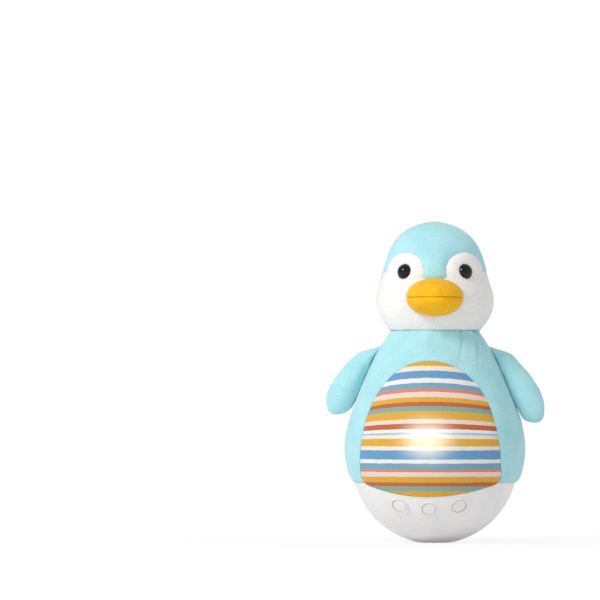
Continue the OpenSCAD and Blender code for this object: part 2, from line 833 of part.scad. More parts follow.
stand_h = lamp_h + 2 * stand_edge;
stand_foot = 10;
module lamp_stand() {
    color("#E4E4E4") translate([-stand_w / 2, -stand_y, deck_top]) {
        cube([stand_w, stand_foot, stand_t]);
        cube([stand_w, stand_t, stand_h]);
    }
}
module lamp_board() {
    margin = 6;
    color("#2E7D4F") translate([-stand_w / 2, -stand_y - pcb_t, deck_top + lamp_h - margin])
        cube([stand_w, pcb_t, 2 * margin]);
}
module lamps() {
    collar_w = 0.4;
    collar_h = 1;
    color("#FFF3D0") for (i = [-1:1])
        translate([i * lamp_pitch, -stand_y - pcb_t, deck_top + lamp_h]) rotate([90, 0, 0]) {
            cylinder(d = lamp_d, h = lamp_d);
            translate([0, 0, lamp_d]) sphere(d = lamp_d);
            cylinder(d = lamp_d + 2 * collar_w, h = collar_h);
        }
}

// Body

panel_power = 2.15;
filling_out = plush_t + seam_gap;

function bulge(v) = sign(v) * pow(abs(v), 2 / panel_power);

module panel_outline(gap) {
    half = panel_w / 2 + gap;
    rise = panel_top_z - panel_wide_z + gap;
    intersection() {
        polygon(concat([[half, 0]],
            [for (a = [0:7.5:180]) [half * bulge(cos(a)), panel_wide_z + rise * bulge(sin(a))]],
            [[-half, 0]]));
        translate([0, panel_hem_z + panel_hem_r]) circle(panel_hem_r + gap, $fn = 128);
    }
}
module panel_front(gap) {
    rotate([90, 0, 0]) linear_extrude(far) panel_outline(gap);
}
module body_jacket() {
    color("#A9E4EA") difference() {
        skin(body_q, evenly(hem_z, neck_z, 20), 0, plush_t);
        panel_front(seam_gap);
    }
}
module tummy_panel() {
    color("#E3B048") intersection() {
        skin(body_q, evenly(hem_low_z + bite, panel_top_z + over, 18), plush_t - knit_t, plush_t);
        panel_front(0);
    }
}
module body_filling() {
    heights = evenly(deck_top + over, neck_z - filling_t, 12);
    color("#FAFAF6") skin(body_q, heights, filling_out, filling_out + filling_t);
}
module hem_elastic() {
    r = base_at(elastic_z + elastic_w) + seam_gap;
    color("#F5F5F0") translate([0, 0, elastic_z]) difference() {
        cylinder(r = r + elastic_t, h = elastic_w, $fn = 128);
        translate([0, 0, -over]) cylinder(r = r, h = elastic_w + 2 * over, $fn = 128);
    }
}

// Head

eye_turn = asin(eye_x / head_r(eye_z));
eye_tilt = atan((head_r(eye_z - 1) - head_r(eye_z + 1)) / 2);
head_depth = plush_t + seam_gap + head_filling_t;
washer_dip = washer_d * washer_d / (8 * (head_r(eye_z) - head_depth)) + seam_gap;

module at_eye(side) {
    rotate(head_turn + side * eye_turn) translate([0, -head_r(eye_z), eye_z])
        rotate([90 - eye_tilt, 0, 0]) children();
}
module eye_holes() {
    for (s = [-1, 1]) at_eye(s) cylinder(d = shank_d + 2 * seam_gap, h = 4 * head_depth, center = true);
}
module face_outline(gap) {
    run = 60;
    r = lobe_r + gap;
    lobe = [lobe_x, lobe_z];
    edge = lobe + r * [cos(lobe_turn), sin(lobe_turn)];
    low = edge + run * [sin(lobe_turn), -cos(lobe_turn)];
    flip = [[-1, 0], [0, 1]];
    for (s = [-1, 1]) translate([s * lobe_x, lobe_z]) circle(r);
    polygon([[-low[0], jowl_z - run], [low[0], jowl_z - run], low, edge, lobe, [0, peak_z + gap],
        flip * lobe, flip * edge, flip * low]);
}
module face_front(gap) {
    rotate(head_turn) translate([0, face_back + gap, 0]) rotate([90, 0, 0])
        linear_extrude(far) face_outline(gap);
}
module head_skin() {
    skin(head_q, rounding(head_z, crown_z, 20), 0, plush_t);
}
module head_crown() {
    color("#A9E4EA") difference() {
        head_skin();
        face_front(seam_gap);
    }
}
module face_panel() {
    color("#F3F1F0") difference() {
        intersection() {
            head_skin();
            face_front(0);
        }
        eye_holes();
    }
}
module head_filling() {
    color("#FAFAF6") difference() {
        skin(head_q, rounding(head_z + 2 * over, crown_z, 14), filling_out, head_depth);
        eye_holes();
    }
}
module eye(side) {
    dome_ball = (square_of(eye_d / 2) + eye_h * eye_h) / (2 * eye_h);
    shank_l = head_depth + washer_dip + washer_t + over;
    color("#151515") at_eye(side) {
        intersection() {
            translate([0, 0, seam_gap + eye_h - dome_ball]) sphere(dome_ball);
            translate([0, 0, seam_gap]) cylinder(d = 2 * eye_d, h = eye_h);
        }
        translate([0, 0, -shank_l]) cylinder(d = shank_d, h = shank_l + bite);
    }
}
module eye_left() {
    eye(1);
}
module eye_right() {
    eye(-1);
}
module eye_washers() {
    color("#F0F0F0") for (s = [-1, 1]) at_eye(s) translate([0, 0, -head_depth - washer_dip - washer_t])
        difference() {
            cylinder(d = washer_d, h = washer_t);
            translate([0, 0, -over]) cylinder(d = shank_d + 2 * thread_gap, h = washer_t + 2 * over);
        }
}

// Beak halves: each cross-section lies on the face and swells forward from it

function face_y(x, z) = -sqrt(head_q(z) - x * x) - seam_gap;
function beak_ring(turn, side) =
    let (x = beak_w / 2 * sin(turn), tall = beak_h / 2 * cos(turn), deep = beak_l * pow(cos(turn), 0.9))
    let (at = function (share, swell) [x, face_y(x, beak_z + side * tall * share) - deep * swell,
        beak_z + side * (seam_gap / 2 + tall * share)])
    let (ring = concat([for (i = [0:4]) at(i / 4, 0)], [for (a = [75:-15:0]) at(sin(a), cos(a))]))
    side > 0 ? ring : reversed(ring);

module beak_half(side) {
    rotate(head_turn) loft([for (turn = [-84:12:84]) beak_ring(turn, side)]);
}
module beak_upper() {
    color("#F9C02B") beak_half(1);
}
module beak_lower() {
    color("#F2A21B") beak_half(-1);
}

// Wings: round sections along a hanging line, pressed clear of the body

root_narrow = 0.6;
root_thin = 0.5;

function clear_of_body(p) =
    let (r = norm([p[0], p[1]]), least = sqrt(body_q(p[2])) + rest_gap, k = max(1, least / r))
    [k * p[0], k * p[1], p[2]];
function wing_ring(share, hang) =
    let (end = sqrt(1 - pow(share, 4)), root = pow(1 - share, 3))
    let (half_w = wing_w / 2 * end * (1 - root_narrow * root))
    let (half_t = wing_t / 2 * end * (1 - root_thin * root))
    [for (a = [0:18:342]) clear_of_body(
        [wing_x, 0, wing_z] + share * wing_l * [sin(hang), 0, -cos(hang)]
        + half_w * cos(a) * [cos(hang), 0, sin(hang)] + [0, half_t * sin(a), 0])];

module wing(hang) {
    last_ring = 0.994;
    loft([for (share = rounding(0, last_ring, 11)) wing_ring(share, hang)]);
}
module wing_left() {
    color("#A9E4EA") wing(wing_hang);
}
module wing_right() {
    color("#A9E4EA") mirror([1, 0, 0]) wing(wing_hang + wing_right_lift);
}

base_bowl();
deck();
deck_screws();
counterweight();
counterweight_screws();
button_left();
button_middle();
button_right();
rubber_dome_left();
rubber_dome_middle();
rubber_dome_right();
button_board();
button_board_screws();
battery_tub();
battery_cells();
contacts_left();
contacts_right();
battery_door();
door_screw();
switch_body();
switch_knob();
main_board();
main_board_parts();
main_board_screws();
speaker_frame();
speaker_cone();
speaker_magnet();
speaker_screws();
light_dome();
light_dome_screws();
lamp_stand();
lamp_board();
lamps();
body_jacket();
tummy_panel();
body_filling();
hem_elastic();
head_crown();
face_panel();
head_filling();
beak_upper();
beak_lower();
eye_left();
eye_right();
eye_washers();
wing_left();
wing_right();
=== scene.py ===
# %% [markdown]
# # A plush penguin tumbler
#
# This toy is a stuffed penguin sewn over a heavy, round plastic base, so it rights itself when it is
# pushed over. Its knit tummy is lit from inside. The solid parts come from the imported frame, and this
# lesson dresses them: first the camera and the light, then one finish at a time, then the soft pieces.

# %% Load the frame
import math

import bmesh
import bpy
import numpy as np
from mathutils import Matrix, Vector, noise
from mathutils.bvhtree import BVHTree


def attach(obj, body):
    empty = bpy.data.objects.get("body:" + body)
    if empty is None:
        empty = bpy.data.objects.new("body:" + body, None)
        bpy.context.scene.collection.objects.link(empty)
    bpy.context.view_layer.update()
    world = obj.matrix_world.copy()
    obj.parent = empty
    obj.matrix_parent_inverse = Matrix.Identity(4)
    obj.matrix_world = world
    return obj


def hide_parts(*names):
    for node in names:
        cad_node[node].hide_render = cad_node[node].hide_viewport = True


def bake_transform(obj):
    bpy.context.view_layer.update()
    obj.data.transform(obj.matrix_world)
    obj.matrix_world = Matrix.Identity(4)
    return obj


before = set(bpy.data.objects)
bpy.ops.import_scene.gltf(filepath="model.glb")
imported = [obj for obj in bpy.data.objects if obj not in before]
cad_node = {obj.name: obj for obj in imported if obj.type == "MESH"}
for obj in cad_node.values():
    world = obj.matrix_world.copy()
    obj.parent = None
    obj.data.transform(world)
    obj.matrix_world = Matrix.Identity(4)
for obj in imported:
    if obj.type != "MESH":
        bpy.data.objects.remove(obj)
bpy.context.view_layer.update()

scene = bpy.context.scene
MM = 0.001

# %% [markdown]
# ## The camera
#
# A studio photographer steps back and uses a long lens, so that a small round toy keeps its proportions.
# The lens could be shifted to put the toy off the middle of the picture, but turning the camera a few
# degrees does the same, and it leaves every other view centred. The toy is turned a little to the side.

# %% Camera
PICTURE = 600
PIXEL = 0.8 * MM
TOY_AT = (434.8, 542.0)
DISTANCE = 4.0
LENS_HEIGHT = 0.120
TOY_TURN = math.radians(5)

to_right = Vector((math.cos(TOY_TURN), math.sin(TOY_TURN), 0))
to_lens = Vector((math.sin(TOY_TURN), -math.cos(TOY_TURN), 0))
middle = to_right * (PICTURE / 2 - TOY_AT[0]) * PIXEL + Vector((0, 0, (TOY_AT[1] - PICTURE / 2) * PIXEL))
camera = bpy.data.objects.new("camera", bpy.data.cameras.new("camera"))
scene.collection.objects.link(camera)
camera.location = to_lens * DISTANCE + Vector((0, 0, LENS_HEIGHT))
camera.rotation_mode = "QUATERNION"
camera.rotation_quaternion = (middle - camera.location).to_track_quat("-Z", "Y")
camera.data.sensor_width = 36
camera.data.lens = camera.data.sensor_width * (middle - camera.location).length / (PICTURE * PIXEL)
camera.data.clip_end = 50
scene.camera = camera
print("lens", round(camera.data.lens, 1), "mm at", DISTANCE, "m")

# %% [markdown]
# ## Colour and nodes
#
# Paint charts and screens give colours as sRGB hex values, while the renderer works in linear light. One
# function turns the first into the second. Each finish is a small tree of nodes, so one more function
# adds a node with its settings, its values and the links into it.

# %% Colour and node helpers
def linear(code):
    """An sRGB hex colour as linear red, green, blue and alpha."""
    parts = [int(code[i:i + 2], 16) / 255 for i in (1, 3, 5)]
    return [c / 12.92 if c <= 0.04045 else ((c + 0.055) / 1.055) ** 2.4 for c in parts] + [1.0]


def add(tree, kind, links=None, values=None, **settings):
    """Adds one node with its settings, the values on its sockets and the links into them."""
    node = tree.nodes.new("ShaderNode" + kind)
    for key, value in settings.items():
        setattr(node, key, value)
    for key, value in (values or {}).items():
        node.inputs[key].default_value = value
    for key, source in (links or {}).items():
        tree.links.new(source, node.inputs[key])
    return node


def new_finish(name):
    """An empty material and its node tree."""
    finish = bpy.data.materials.new(name)
    finish.use_nodes = True
    finish.node_tree.nodes.clear()
    return finish, finish.node_tree


def per_metre(size_mm):
    """How many lengths of that many millimetres make a metre: the scale that a texture asks for."""
    return 1 / (size_mm * MM)


print("linear aqua", [round(c, 3) for c in linear("#A9E4EA")])

# %% [markdown]
# ## Floor and light
#
# The toy stands on a white sweep. A white floor under soft light still comes out pale grey, so to the
# camera it gives off part of its white by itself, and the rest is lit and keeps the toy's shadow. The
# light is one large soft box at the upper left, a weaker one at the right, and an even white room.

# %% Floor
FLOOR_REACH = 12.0
SHADOW_NEAR = 0.06
SHADOW_FAR = 0.3
WHITE_NEAR = 0.85

floor_finish, tree = new_finish("white_paper_sweep")
rays = add(tree, "LightPath").outputs
seen = add(tree, "Math", {0: rays["Is Camera Ray"], 1: rays["Is Glossy Ray"]}, operation="MAXIMUM")
seen = add(tree, "Math", {0: seen.outputs[0], 1: rays["Is Transmission Ray"]}, operation="MAXIMUM")
spot = add(tree, "TexCoord")
away = add(tree, "VectorMath", {0: spot.outputs["Object"]}, operation="LENGTH")
paler = add(tree, "MapRange", {"Value": away.outputs["Value"]},
            {"From Min": SHADOW_NEAR, "From Max": SHADOW_FAR, "To Min": WHITE_NEAR, "To Max": 1.0})
own_white = add(tree, "Math", {0: seen.outputs[0], 1: paler.outputs[0]}, operation="MULTIPLY")
paper = add(tree, "BsdfDiffuse", values={"Color": linear("#FAFAFA")})
white = add(tree, "Emission", values={"Color": (1, 1, 1, 1), "Strength": 1.0})
mixed = add(tree, "MixShader", {0: own_white.outputs[0], 1: paper.outputs[0], 2: white.outputs[0]})
add(tree, "OutputMaterial", {"Surface": mixed.outputs[0]})

floor_mesh = bpy.data.meshes.new("floor")
square = [(-1, -1), (1, -1), (1, 1), (-1, 1)]
floor_mesh.from_pydata([(x * FLOOR_REACH, y * FLOOR_REACH, 0) for x, y in square], [], [(0, 1, 2, 3)])
floor = bpy.data.objects.new("floor", floor_mesh)
floor_mesh.materials.append(floor_finish)
scene.collection.objects.link(floor)
print("floor", 2 * FLOOR_REACH, "m wide")

# %% Room and lamps
ROOM_LIGHT = 0.64
LAMPS_LOOK_AT = Vector((0, 0, 0.13))

world = bpy.data.worlds.new("white_room")
world.use_nodes = True
tree = world.node_tree
tree.nodes.clear()
rays = add(tree, "LightPath").outputs
seen = add(tree, "Math", {0: rays["Is Camera Ray"], 1: rays["Is Transmission Ray"]}, operation="MAXIMUM")
level = add(tree, "MapRange", {"Value": seen.outputs[0]}, {"To Min": ROOM_LIGHT, "To Max": 1.0})
room = add(tree, "Background", {"Strength": level.outputs[0]}, {"Color": (1, 1, 1, 1)})
add(tree, "OutputWorld", {"Surface": room.outputs[0]})
scene.world = world
scene.view_settings.view_transform = "Standard"


def soft_box(name, place, size, watts):
    """A square area lamp that looks at the middle of the toy."""
    lamp = bpy.data.objects.new(name, bpy.data.lights.new(name, "AREA"))
    lamp.data.size = size
    lamp.data.energy = watts
    lamp.location = place
    lamp.rotation_mode = "QUATERNION"
    lamp.rotation_quaternion = (LAMPS_LOOK_AT - lamp.location).to_track_quat("-Z", "Y")
    scene.collection.objects.link(lamp)


soft_box("key_box", Vector((-0.9, -1.1, 1.1)), 0.45, 13.5)
soft_box("fill_box", Vector((1.3, -1.0, 0.5)), 0.9, 0.5)

# %% [markdown]
# ## Short-pile plush
#
# The coat is polyester plush with a pile about a millimetre and a half long, brushed and sheared even. It
# could be grown as hair, but at arm's length single fibres don't show. What the eye gets is a soft pale
# bloom where the surface turns away, patches where the nap lies another way, and a fine grain. So this
# is a rough cloth with sheen, a slow noise for the patches and a fine bump for the tufts.

# %% Plush finishes
def plush(name, lit, brushed, tuft_mm=1.1, patch_mm=16, bloom=0.45):
    """Plush in two near shades, with tufts drawn a little coarser than real so that they show."""
    finish, tree = new_finish(name)
    where = add(tree, "TexCoord").outputs["Object"]
    patches = add(tree, "TexNoise", {"Vector": where}, {"Scale": per_metre(patch_mm), "Detail": 3})
    tufts = add(tree, "TexNoise", {"Vector": where}, {"Scale": per_metre(tuft_mm), "Detail": 2})
    shares = add(tree, "MapRange", {"Value": patches.outputs[0]}, {"From Min": 0.35, "From Max": 0.68})
    ground = add(tree, "Mix", {"Factor": shares.outputs[0]}, {6: linear(lit), 7: linear(brushed)},
                 data_type="RGBA")
    # Painted shade in the pile: the colour is a little darker where the tufts' bump is low and a little
    # lighter on their tips.
    depth = add(tree, "MapRange", {"Value": tufts.outputs[0]},
                {"From Min": 0.3, "From Max": 0.7, "To Min": 0.9, "To Max": 1.04})
    pile = add(tree, "Mix", {6: ground.outputs[2], 7: depth.outputs[0]}, {"Factor": 1.0},
               data_type="RGBA", blend_type="MULTIPLY")
    grain = add(tree, "Bump", {"Height": tufts.outputs[0]}, {"Strength": 0.35, "Distance": 0.5 * MM})
    cloth = add(tree, "BsdfPrincipled", {"Base Color": pile.outputs[2], "Normal": grain.outputs[0]},
                {"Roughness": 0.95, "Specular IOR Level": 0.15, "Sheen Weight": bloom,
                 "Sheen Roughness": 0.45, "Sheen Tint": linear("#FFFFFF")})
    add(tree, "OutputMaterial", {"Surface": cloth.outputs[0]})
    return finish


aqua_plush = plush("aqua_short_pile_plush", "#B2E6ED", "#A6DFE7")
white_plush = plush("white_short_pile_plush", "#F6F5F3", "#F0EEEC")
yellow_plush = plush("yellow_short_pile_plush", "#FCC21C", "#F9B517", patch_mm=11, bloom=0.12)
print("plush finishes", aqua_plush.name, white_plush.name, yellow_plush.name)

# %% [markdown]
# ## Striped knit
#
# The tummy is a thin cotton knit with knitted-in stripes of many widths. They could be painted on, but
# real ones are straight on the flat cloth and bend only as it is pulled over the belly. So each point of
# the cloth carries its place on the flat cut, and a colour ramp reads the height there. The light of the
# lamps behind the knit is painted on it as one warm patch that fades outwards.

# %% Knit finish
YARN = {
    "mustard": "#E5AF44", "sage": "#88B1A6", "rust": "#C76B42", "blush": "#F5DCD0", "coral": "#DA8F79",
    "slate": "#7DAAC4", "white": "#F2F2F2", "blue": "#6DA1CE", "cream": "#F5EAD8", "sky": "#A9C9DE",
}
STRIPES = [
    (0.0, "mustard"), (4.8, "sage"), (8.8, "rust"), (11.9, "mustard"), (16.8, "blush"), (20.7, "coral"),
    (23.2, "slate"), (28.3, "white"), (31.4, "blue"), (38.5, "cream"), (41.6, "mustard"), (47.8, "cream"),
    (51.0, "sky"), (52.9, "white"), (55.5, "rust"), (60.0, "blush"), (63.4, "mustard"), (70.5, "sage"),
    (74.4, "rust"), (77.8, "mustard"), (82.1, "blush"), (86.3, "coral"), (89.7, "slate"), (94.0, "white"),
    (98.3, "blue"), (104.4, "cream"), (108.3, "mustard"),
]
CUT_HEIGHT = 115.0
WAVER = 0.5
WAVER_LONG = 5.0

knit, tree = new_finish("striped_cotton_knit")
flat = add(tree, "Attribute", attribute_name="flat_cut")
waver = add(tree, "TexNoise", {"Vector": flat.outputs["Vector"]},
            {"Scale": per_metre(WAVER_LONG), "Detail": 2})
shift = add(tree, "MapRange", {"Value": waver.outputs[0]}, {"To Min": -WAVER * MM, "To Max": WAVER * MM})
place = add(tree, "SeparateXYZ", {"Vector": flat.outputs["Vector"]})
height = add(tree, "Math", {0: place.outputs["Y"], 1: shift.outputs[0]}, operation="ADD")
share = add(tree, "Math", {0: height.outputs[0]}, {1: per_metre(CUT_HEIGHT)}, operation="MULTIPLY")
stripes = add(tree, "ValToRGB", {"Fac": share.outputs[0]})
stripes.color_ramp.interpolation = "CONSTANT"
while len(stripes.color_ramp.elements) < len(STRIPES):
    stripes.color_ramp.elements.new(1.0)
for stop, (low, yarn) in zip(stripes.color_ramp.elements, STRIPES):
    stop.position = low / CUT_HEIGHT
    stop.color = linear(YARN[yarn])
print("stripes", len(STRIPES), "of", len(YARN), "yarns over", CUT_HEIGHT, "mm of cloth")

# %% [markdown]
# ## Loops and glow of the knit
#
# Up close a knit is rows of loops, and far away they only soften its colours. Each loop could be modelled,
# but two waves across each other give rows and ribs for less. They are drawn coarser than the real yarn,
# so that they show. The glow is painted light: a soft oval that whitens the dye and gives off a little
# light of its own, in place of the lamps behind the knit shining through.

# %% Loops and glow
LOOP_MM = 1.5
RIB_MM = 1.95
WAVE = 2 * math.pi / 20
GLOW_AT = (0.0, 47.0)
GLOW_WIDE = (20.0, 16.0)
GLOW_POWER = 1.6
GLOW_LIGHT = 0.35

rows = add(tree, "TexWave", {"Vector": flat.outputs["Vector"]},
           {"Scale": WAVE * per_metre(LOOP_MM), "Distortion": 1.2, "Detail": 1}, bands_direction="Y")
ribs = add(tree, "TexWave", {"Vector": flat.outputs["Vector"]},
           {"Scale": WAVE * per_metre(RIB_MM), "Distortion": 1.5}, bands_direction="X")
loops = add(tree, "Math", {0: rows.outputs["Fac"], 1: ribs.outputs["Fac"]}, operation="MULTIPLY")
shade = add(tree, "MapRange", {"Value": loops.outputs[0]}, {"To Min": 0.86, "To Max": 1.03})
dyed = add(tree, "Mix", {6: stripes.outputs[0], 7: shade.outputs[0]}, {"Factor": 1.0},
           data_type="RGBA", blend_type="MULTIPLY")
grain = add(tree, "Bump", {"Height": loops.outputs[0]}, {"Strength": 0.3, "Distance": 0.25 * MM})
# Painted light: a warm oval on the cloth that whitens its colour and glows, standing in for the lamps behind
# it.
off = add(tree, "Mapping", {"Vector": flat.outputs["Vector"]},
          {"Location": (-GLOW_AT[0] / GLOW_WIDE[0], -GLOW_AT[1] / GLOW_WIDE[1], 0),
           "Scale": (per_metre(GLOW_WIDE[0]), per_metre(GLOW_WIDE[1]), 0)})
far = add(tree, "VectorMath", {0: off.outputs[0]}, operation="LENGTH")
fall = add(tree, "MapRange", {"Value": far.outputs["Value"]},
           {"From Min": 0.0, "From Max": 2.0, "To Min": 0.8, "To Max": 0.0},
           interpolation_type="SMOOTHERSTEP")
lit = add(tree, "Math", {0: fall.outputs[0]}, {1: GLOW_POWER}, operation="POWER")
glow = add(tree, "Mix", {"Factor": lit.outputs[0], 6: dyed.outputs[2]}, {7: linear("#FFFAE6")},
           data_type="RGBA")
strength = add(tree, "Math", {0: lit.outputs[0]}, {1: GLOW_LIGHT}, operation="MULTIPLY")
cloth = add(tree, "BsdfPrincipled",
            {"Base Color": glow.outputs[2], "Normal": grain.outputs[0],
             "Emission Color": glow.outputs[2], "Emission Strength": strength.outputs[0]},
            {"Roughness": 0.85, "Specular IOR Level": 0.2, "Sheen Weight": 0.15})
add(tree, "OutputMaterial", {"Surface": cloth.outputs[0]})
print("loops", LOOP_MM, "by", RIB_MM, "mm, glow", GLOW_WIDE, "mm")

# %% [markdown]
# ## Hard finishes
#
# The base, door and buttons are moulded ABS with a spark-eroded satin skin: it scatters a soft highlight
# and picks up faint scuffs where the toy rocks. Inside are plated steel, cast iron, circuit board, silicone
# rubber and paper. Each could have a tree of its own, but they differ only in colour, gloss and grain, so
# one function takes those: a slow noise for uneven colour, a fine one for grain and for uneven gloss.

# %% Hard finishes
MOTTLE_MM = 14


def hard(name, colour, worn, rough, grain_mm, relief=0.15, metallic=0.0, ior=1.5, shine=0.5):
    """A moulded, cast or plated surface. The grain is drawn no finer than the picture can show."""
    finish, tree = new_finish(name)
    where = add(tree, "TexCoord").outputs["Object"]
    mottle = add(tree, "TexNoise", {"Vector": where}, {"Scale": per_metre(MOTTLE_MM), "Detail": 4})
    grit = add(tree, "TexNoise", {"Vector": where}, {"Scale": per_metre(grain_mm), "Detail": 2})
    shares = add(tree, "MapRange", {"Value": mottle.outputs[0]}, {"From Min": 0.4, "From Max": 0.75})
    tone = add(tree, "Mix", {"Factor": shares.outputs[0]}, {6: linear(colour), 7: linear(worn)},
               data_type="RGBA")
    gloss = add(tree, "MapRange", {"Value": mottle.outputs[0]},
                {"To Min": rough * 0.85, "To Max": rough * 1.15})
    skin = add(tree, "Bump", {"Height": grit.outputs[0]}, {"Strength": relief, "Distance": 0.1 * MM})
    body = add(tree, "BsdfPrincipled",
               {"Base Color": tone.outputs[2], "Roughness": gloss.outputs[0], "Normal": skin.outputs[0]},
               {"Metallic": metallic, "IOR": ior, "Specular IOR Level": shine})
    add(tree, "OutputMaterial", {"Surface": body.outputs[0]})
    return finish


# Moulded ABS: an even near-white with a soft highlight and barely visible scuffs
white_abs = hard("satin_white_abs", "#EEECEC", "#E7E5E5", 0.38, 0.6, ior=1.53)
# The same plastic where nobody looks: plain grey and a little duller
inner_abs = hard("plain_grey_abs", "#D8D8D8", "#CFCFD0", 0.5, 0.8, ior=1.53)
# Polished acrylic resin over black: a hard, mirror-like spark from each lamp
black_resin = hard("polished_black_resin", "#050506", "#08080A", 0.04, 3.0, relief=0.01,
                   ior=1.49, shine=0.35)
# Grey iron as it leaves the sand mould: dark, dull and rough
sand_iron = hard("sand_cast_iron", "#55555A", "#46464A", 0.7, 1.2, relief=0.6, metallic=1.0)
# Zinc and nickel plate on steel: bright, with fine drawing marks
plated_steel = hard("zinc_plated_steel", "#B4B4B8", "#A2A2A8", 0.32, 0.5, metallic=1.0)
nickel_strip = hard("nickel_plated_spring_steel", "#CFCFD2", "#BDBDC2", 0.25, 0.5, metallic=1.0)
# Stoved paint over pressed steel: dark grey with an even, half-matt skin
pressed_steel = hard("painted_pressed_steel", "#6E7074", "#62646A", 0.45, 0.9)
# Solder mask over glass fibre: glossy green with the weave just showing
solder_mask = hard("green_solder_mask", "#2E7D4F", "#276C45", 0.3, 0.9, relief=0.3, ior=1.55)
# Moulded epoxy: matt black with a fine, even grain
dark_epoxy = hard("black_moulded_epoxy", "#26262A", "#303036", 0.5, 0.5, ior=1.55)
# Silicone rubber: dull, slightly greasy grey
silicone = hard("grey_silicone_rubber", "#8C8F94", "#83868C", 0.65, 0.7, ior=1.41)
# Pressed paper pulp: black, fibrous and quite without shine
paper_pulp = hard("black_paper_pulp", "#2B2B2E", "#232326", 0.9, 0.7, relief=0.5)
# Varnished sleeve over a steel can: brassy, with a soft metal gleam
cell_sleeve = hard("printed_steel_sleeve", "#B9A25A", "#A8924C", 0.35, 1.5, metallic=0.6)
# Frosted moulding: milky white that spreads the light
frosted = hard("frosted_polypropylene", "#F4F6F6", "#E8EBEC", 0.6, 0.6, ior=1.49)
# Cast lamp resin: glossy and tinted by the phosphor under it
clear_resin = hard("warm_white_lamp_resin", "#FFF3D0", "#FBE7B5", 0.15, 2.0, relief=0.02, ior=1.54)
# Moulded nylon without pigment: off-white with a waxy highlight
nylon = hard("natural_nylon", "#F0F0EE", "#E4E4E0", 0.45, 0.7, ior=1.53)
print("hard finishes, eye resin", black_resin.name, "base", white_abs.name)

# %% [markdown]
# ## Dressing the solid parts
#
# The hard parts need no new shape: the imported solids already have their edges, holes and bosses. Each could
# be given its finish where it is made, but one list by finish shows at a glance what is made of what.

# %% Dress the solid parts
WORN_BY = {
    white_abs: ["base_bowl", "battery_door", "button_left", "button_middle", "button_right"],
    inner_abs: ["deck", "battery_tub", "lamp_stand"],
    black_resin: ["eye_left", "eye_right"],
    sand_iron: ["counterweight"],
    plated_steel: ["deck_screws", "counterweight_screws", "button_board_screws", "main_board_screws",
                   "speaker_screws", "light_dome_screws", "door_screw"],
    nickel_strip: ["contacts_left", "contacts_right"],
    pressed_steel: ["speaker_frame", "speaker_magnet"],
    solder_mask: ["button_board", "main_board", "lamp_board"],
    dark_epoxy: ["main_board_parts", "switch_body", "switch_knob"],
    silicone: ["rubber_dome_left", "rubber_dome_middle", "rubber_dome_right"],
    paper_pulp: ["speaker_cone"],
    cell_sleeve: ["battery_cells"],
    frosted: ["light_dome"],
    clear_resin: ["lamps"],
    nylon: ["eye_washers"],
}
for finish, names in WORN_BY.items():
    for name in names:
        cad_node[name].data.materials.clear()
        cad_node[name].data.materials.append(finish)
print("solid parts dressed", sum(len(names) for names in WORN_BY.values()))

# %% [markdown]
# ## The toy's outline
#
# The sewn body and head are close to bodies of revolution, so their shape is a smooth line of radius over
# height, the same stations that the solid parts follow. A sphere or a cone would be too plain. The square
# of the radius is what runs smoothly through the stations, which rounds the top of the head by itself.

# %% Outlines
BALL_R = 66.0
FOOT_R = 13.0
BALL_Z = math.sqrt(BALL_R ** 2 - FOOT_R ** 2)
COVER = 2.0
PANEL_REST = 36.3
JACKET_HEM = 48.0
NECK = 169.0
HEAD_LOW = 169.2
BODY_STATIONS = [(67.0, 72.4), (92.0, 70.0), (127.0, 57.5), (155.0, 45.5), (NECK, 36.2)]
HEAD_STATIONS = [(HEAD_LOW, 36.2), (177.0, 42.4), (192.0, 48.0), (213.0, 42.8), (234.0, 36.8),
                 (246.0, 28.6), (256.8, 0.0)]
HEAD_TOP = HEAD_STATIONS[-1][0]
HEAD_TURN = math.radians(5)


def ball_at(z):
    """Radius of the round base at a height."""
    return math.sqrt(max(BALL_R ** 2 - (BALL_Z - z) ** 2, 0))


def smooth_line(stations):
    """A function of height that gives the radius, smooth through all stations."""
    zs = [z for z, r in stations]
    qs = [r * r for z, r in stations]
    last = len(zs) - 1
    beside = [(max(i - 1, 0), min(i + 1, last)) for i in range(last + 1)]
    slopes = [(qs[after] - qs[before]) / (zs[after] - zs[before]) for before, after in beside]

    def radius(z):
        i = max(0, min(last - 1, sum(z > step for step in zs) - 1))
        h = zs[i + 1] - zs[i]
        t = (z - zs[i]) / h
        q = ((2 * t ** 3 - 3 * t * t + 1) * qs[i] + (t ** 3 - 2 * t * t + t) * h * slopes[i]
             + (3 * t * t - 2 * t ** 3) * qs[i + 1] + (t ** 3 - t * t) * h * slopes[i + 1])
        return math.sqrt(max(q, 0))

    return radius


body_line = smooth_line([(z, ball_at(z) + COVER) for z in (PANEL_REST, JACKET_HEM)] + BODY_STATIONS)
head_line = smooth_line(HEAD_STATIONS)


def body_radius(z):
    """Radius of the sewn body: never inside the base that it covers."""
    return max(body_line(z), ball_at(z) + COVER if z < BALL_Z else 0)


print("neck", round(body_radius(NECK), 1), "widest cheek", max(r for z, r in HEAD_STATIONS))

# %% [markdown]
# ## Sewing and stuffing
#
# A soft toy gets its shape when it is turned right side out and stuffed: the cloth swells between the seams
# and is held at them. That can be sculpted by hand, but a cloth simulation with air pressure finds the full
# places by itself. Each form starts a little small, is remeshed evenly and swells with its seams held. The
# cloth moves only about a millimetre in so short a run, so its swell is drawn up to what the photo shows.
# The finely cut pieces are then laid on the stuffed form.

# %% Meshes and their points
def make(name, points, faces, finish=None):
    """A smooth mesh object from points in millimetres."""
    mesh = bpy.data.meshes.new(name)
    mesh.from_pydata([tuple(c * MM for c in p) for p in points], [], faces)
    mesh.validate()
    mesh.polygons.foreach_set("use_smooth", [True] * len(mesh.polygons))
    if finish:
        mesh.materials.append(finish)
    obj = bpy.data.objects.new(name, mesh)
    scene.collection.objects.link(obj)
    return obj


